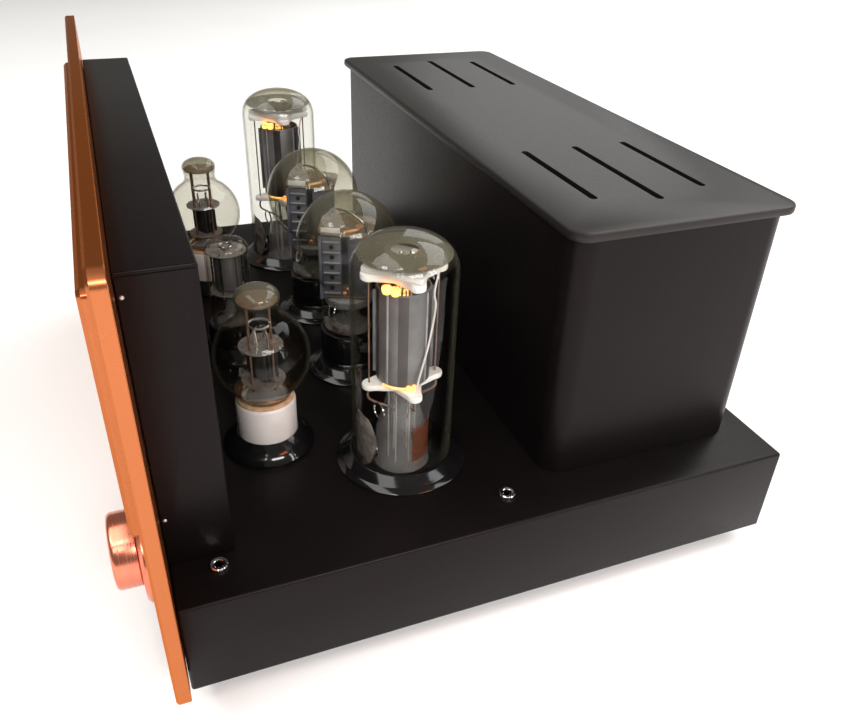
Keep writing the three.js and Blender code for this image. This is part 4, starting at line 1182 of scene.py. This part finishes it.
def make_inlet():
    """A moulded mains inlet with its three pins, in a flange with two screws."""
    plate, spot, low, high = rear_plate("mains_inlet")
    shell = brick((spot.x - 15, low.y, spot.z - 10.5), (spot.x + 15, REAR_WALL + 1.5, spot.z + 10.5), 0.8)
    cavity = brick((spot.x - 12.4, low.y + 8, spot.z - 8.2), (spot.x + 12.4, REAR_WALL + 9, spot.z + 8.2),
                   0.5)
    piece("mains_inlet_body", plate, BLACK_PLASTIC, "black_plastic", replaces=["mains_inlet"], cuts=[cavity])
    piece("mains_inlet_liner", shell, BLACK_PLASTIC, "black_plastic", cuts=[cavity])
    pin = brick((-1, low.y + 7, -2), (1, high.y - 4, 2), 0.5)
    pins = [moved(pin, spot.x + dx, 0, spot.z + dz) for dx, dz in ((-7, -1.5), (0, 2), (7, -1.5))]
    piece("mains_inlet_pins", joined(*pins), CHROME, "chrome")
    head = lathe([(0, 0), (2.4, 0), (2.4, 0.5), (1.5, 1.1), (0, 1.2)], 24)
    heads = [moved(head, spot.x + dx, high.y, spot.z, 0, FACING_BACK) for dx in (-20.5, 20.5)]
    piece("mains_inlet_screws", joined(*heads), STEEL, "shaft_steel")


def make_jacks():
    """Three pairs of gold jacks, white below and red above, in a plate with four screws."""
    plate, spot, low, high = rear_plate("input_jacks")
    piece("input_jack_plate", plate, BLACK_PLASTIC, "black_plastic", replaces=["input_jacks"])
    reach = high.y - REAR_FACE
    shell = [(2.6, -1), (6.2, -1), (6.2, 1.2), (4.2, 1.2), (4.2, reach - 0.5), (3.8, reach), (2.6, reach)]
    cup = [(1.6, 0), (2.6, 0), (2.6, reach - 0.8), (1.6, reach - 0.8)]
    shells, red, white = [], [], []
    for dx in (-28, 0, 28):
        for dz, inserts in ((-9, white), (9, red)):
            place = (spot.x + dx, REAR_FACE, spot.z + dz, 0, FACING_BACK)
            shells.append(moved(lathe(shell, 32, True), *place))
            inserts.append(moved(lathe(cup, 24, True), *place))
    piece("input_jack_shells", joined(*shells), GOLD_PLATE, "shaft_steel")
    piece("input_jack_inserts_red", joined(*red), RED_PLASTIC, "black_plastic")
    piece("input_jack_inserts_white", joined(*white), CERAMIC, "ceramic")
    inset = 3.2
    head = lathe([(0, 0), (1.9, 0), (1.9, 0.5), (1.3, 1), (0, 1.1)], 20)
    heads = [moved(head, x, REAR_FACE, z, 0, FACING_BACK)
             for x in (low.x + inset, high.x - inset) for z in (low.z + inset, high.z - inset)]
    piece("input_jack_screws", joined(*heads), STEEL, "shaft_steel")


def knurled_cap(reach):
    """A binding post's cap: a round nut with twelve soft ridges and a hollow end."""
    count, ridges, ridge = 96, 12, 0.22
    loops = []
    for radius, z in ((5.6, 3), (6.5, 4), (6.5, reach - 1.2), (5.8, reach), (2.1, reach), (2.1, reach - 10)):
        loop = []
        for angle in [math.tau * i / count for i in range(count)]:
            r = radius + (ridge * math.cos(ridges * angle) if radius > 6 else 0)
            loop.append((r * math.cos(angle), r * math.sin(angle), z))
        loops.append(loop)
    return stacked(loops)


def make_terminals(side):
    """Three binding posts in a row: black, red and red."""
    name = f"speaker_terminals_{side}"
    plate, spot, _, high = rear_plate(name)
    piece(f"speaker_plate_{side}", plate, BLACK_PLASTIC, "black_plastic", replaces=[name])
    knurled = knurled_cap(high.y - REAR_FACE)
    core = lathe([(0, -1), (6.3, -1), (6.3, 1.4), (3.6, 1.4), (3.6, 3.2), (0, 3.2)], 32)
    pitch = 24
    cores = [moved(core, spot.x + dx, REAR_FACE, spot.z, 0, FACING_BACK) for dx in (-pitch, 0, pitch)]
    piece(f"speaker_posts_{side}", joined(*cores), GOLD_PLATE, "shaft_steel")
    for label, dx, look in (("common", -pitch, BLACK_PLASTIC), ("low", 0, RED_PLASTIC),
                            ("high", pitch, RED_PLASTIC)):
        piece(f"speaker_cap_{label}_{side}", moved(knurled, spot.x + dx, REAR_FACE, spot.z, 0, FACING_BACK),
              look, "black_plastic")


# ---------------------------------------------------------------- stage, light and camera

def make_floor():
    floor = new_object("floor", brick((-9000, -9000, -20), (9000, 9000, 0)))
    material = solid("pale_floor", ((0.93, 0.93, 0.93), (0.96, 0.96, 0.96)), (0.6, 0.7), 0.0, 2, 60, 0.02)
    floor.data.materials.append(material)


def area_light(name, place, target, size, radiance, colour):
    """A soft light of the given brightness, whatever its size. Lengths here are in metres."""
    lamp = bpy.data.lights.new(name, "AREA")
    lamp.shape = "RECTANGLE"
    lamp.size, lamp.size_y = size
    lamp.energy = radiance * math.pi * size[0] * size[1]
    lamp.color = colour
    made = bpy.data.objects.new(name, lamp)
    bpy.context.scene.collection.objects.link(made)
    made.location = place
    made.rotation_euler = (Vector(target) - Vector(place)).to_track_quat("-Z", "Y").to_euler()


# Where the lights round the amplifier point, in metres.
LIT_CENTRE = Vector((0, 0, 0.12))


def round_about(azimuth, elevation, distance):
    """A place seen from the amplifier in a direction; azimuth 0 is its right side, 90 its back."""
    a, e = math.radians(azimuth), math.radians(elevation)
    towards = Vector((math.cos(e) * math.cos(a), math.cos(e) * math.sin(a), math.sin(e)))
    return LIT_CENTRE + distance * towards


def make_light():
    """A pale world, two wide ceilings, and windows, panes and a warm card that show in the gloss."""
    world = bpy.data.worlds.new("studio")
    bpy.context.scene.world = world
    world.use_nodes = True
    tree = world.node_tree
    seen = node(tree, "ShaderNodeLightPath").outputs["Is Camera Ray"]
    colour = blended(tree, seen, (0.26, 0.255, 0.235), (1.0, 1.0, 1.0))
    feed(tree, tree.nodes["Background"].inputs["Color"], colour)
    area_light("ceiling_back", (-0.5, 2.3, 2.2), (-0.5, 2.3, 0), (3.0, 2.3), 4.0, (0.98, 0.99, 1))
    area_light("ceiling_front", (0.3, -1.5, 2.2), (0.3, -1.5, 0), (2.4, 1.9), 3.3, (1, 0.985, 0.95))
    for x, y, width, depth in ((0.5, -1.7, 0.5, 0.5), (1.2, -0.8, 0.18, 0.4)):
        area_light("skylight", (x, y, 2.15), (x, y, 0), (width, depth), 15, (0.93, 0.97, 1))
    white = (1, 1, 1)
    for name, place, size, radiance, colour in (
            ("window_back", round_about(146, 23, 2.3), (1.0, 0.8), 1.7, (0.97, 0.99, 1)),
            ("window_behind_camera", round_about(5, 32, 2.0), (0.9, 0.34), 22, (1, 0.99, 0.97)),
            ("warm_card", round_about(28, 50, 2.2), (0.6, 0.3), 7.5, (1, 0.26, 0.11)),
            ("pane_left", round_about(-33, 37, 1.9), (0.08, 0.4), 14, white),
            ("pane_right", round_about(-25, 37, 1.9), (0.08, 0.4), 14, white),
            ("window_left", round_about(38, 20, 2.0), (0.12, 1.1), 12, white),
            ("window_right", round_about(47, 20, 2.0), (0.12, 1.1), 12, white)):
        area_light(name, place, LIT_CENTRE, size, radiance, colour)


def make_camera():
    """The photograph's viewpoint, found by fitting the object's edges and round parts."""
    panel_foot = Vector((0, PANEL_BACK, CHASSIS_LOW.z))
    place = (Vector((492.9, 8.0, 358.5)) + panel_foot) * MM
    target = (Vector((136.8, 155.3, 113.0)) + panel_foot) * MM
    roll = math.radians(2.16)
    forward = (target - place).normalized()
    right = forward.cross(Vector((0, 0, 1))).normalized()
    up = right.cross(forward)
    x_axis = math.cos(roll) * right + math.sin(roll) * up
    y_axis = -math.sin(roll) * right + math.cos(roll) * up
    lens = bpy.data.cameras.new("camera")
    lens.sensor_width, lens.lens = 36, 33.84424
    lens.clip_start, lens.clip_end = 0.01, 50
    camera = bpy.data.objects.new("camera", lens)
    bpy.context.scene.collection.objects.link(camera)
    turn = Matrix((x_axis, y_axis, -forward)).transposed()
    camera.matrix_world = Matrix.Translation(place) @ turn.to_4x4()
    bpy.context.scene.camera = camera


# ---------------------------------------------------------------- build

make_camera()
make_chassis()
make_front_panel()
make_meter_surround()
make_housing()
make_transformer_cover()
make_lid()
make_feet()
make_cage_rings()
paint_kept_nodes()
for which in ("volume", "selector"):
    make_knob(which)
    make_bezel(which)
make_button()
for side, _ in SIDES:
    make_meter(side)
    make_socket(f"power_tube_socket_{side}", 7.3)
    make_socket(f"driver_tube_socket_{side}", 6.4)
    make_socket(f"input_tube_socket_{side}", 10, True)
    make_power_valve(side)
    make_driver_valve(side)
    make_input_valve(side)
    make_terminals(side)
make_socket("middle_tube_socket", 10, True)
make_middle_valve()
make_inlet()
make_jacks()
make_floor()
make_light()

scene = bpy.context.scene
scene.view_settings.view_transform = "Standard"
scene.cycles.transparent_max_bounces = 40
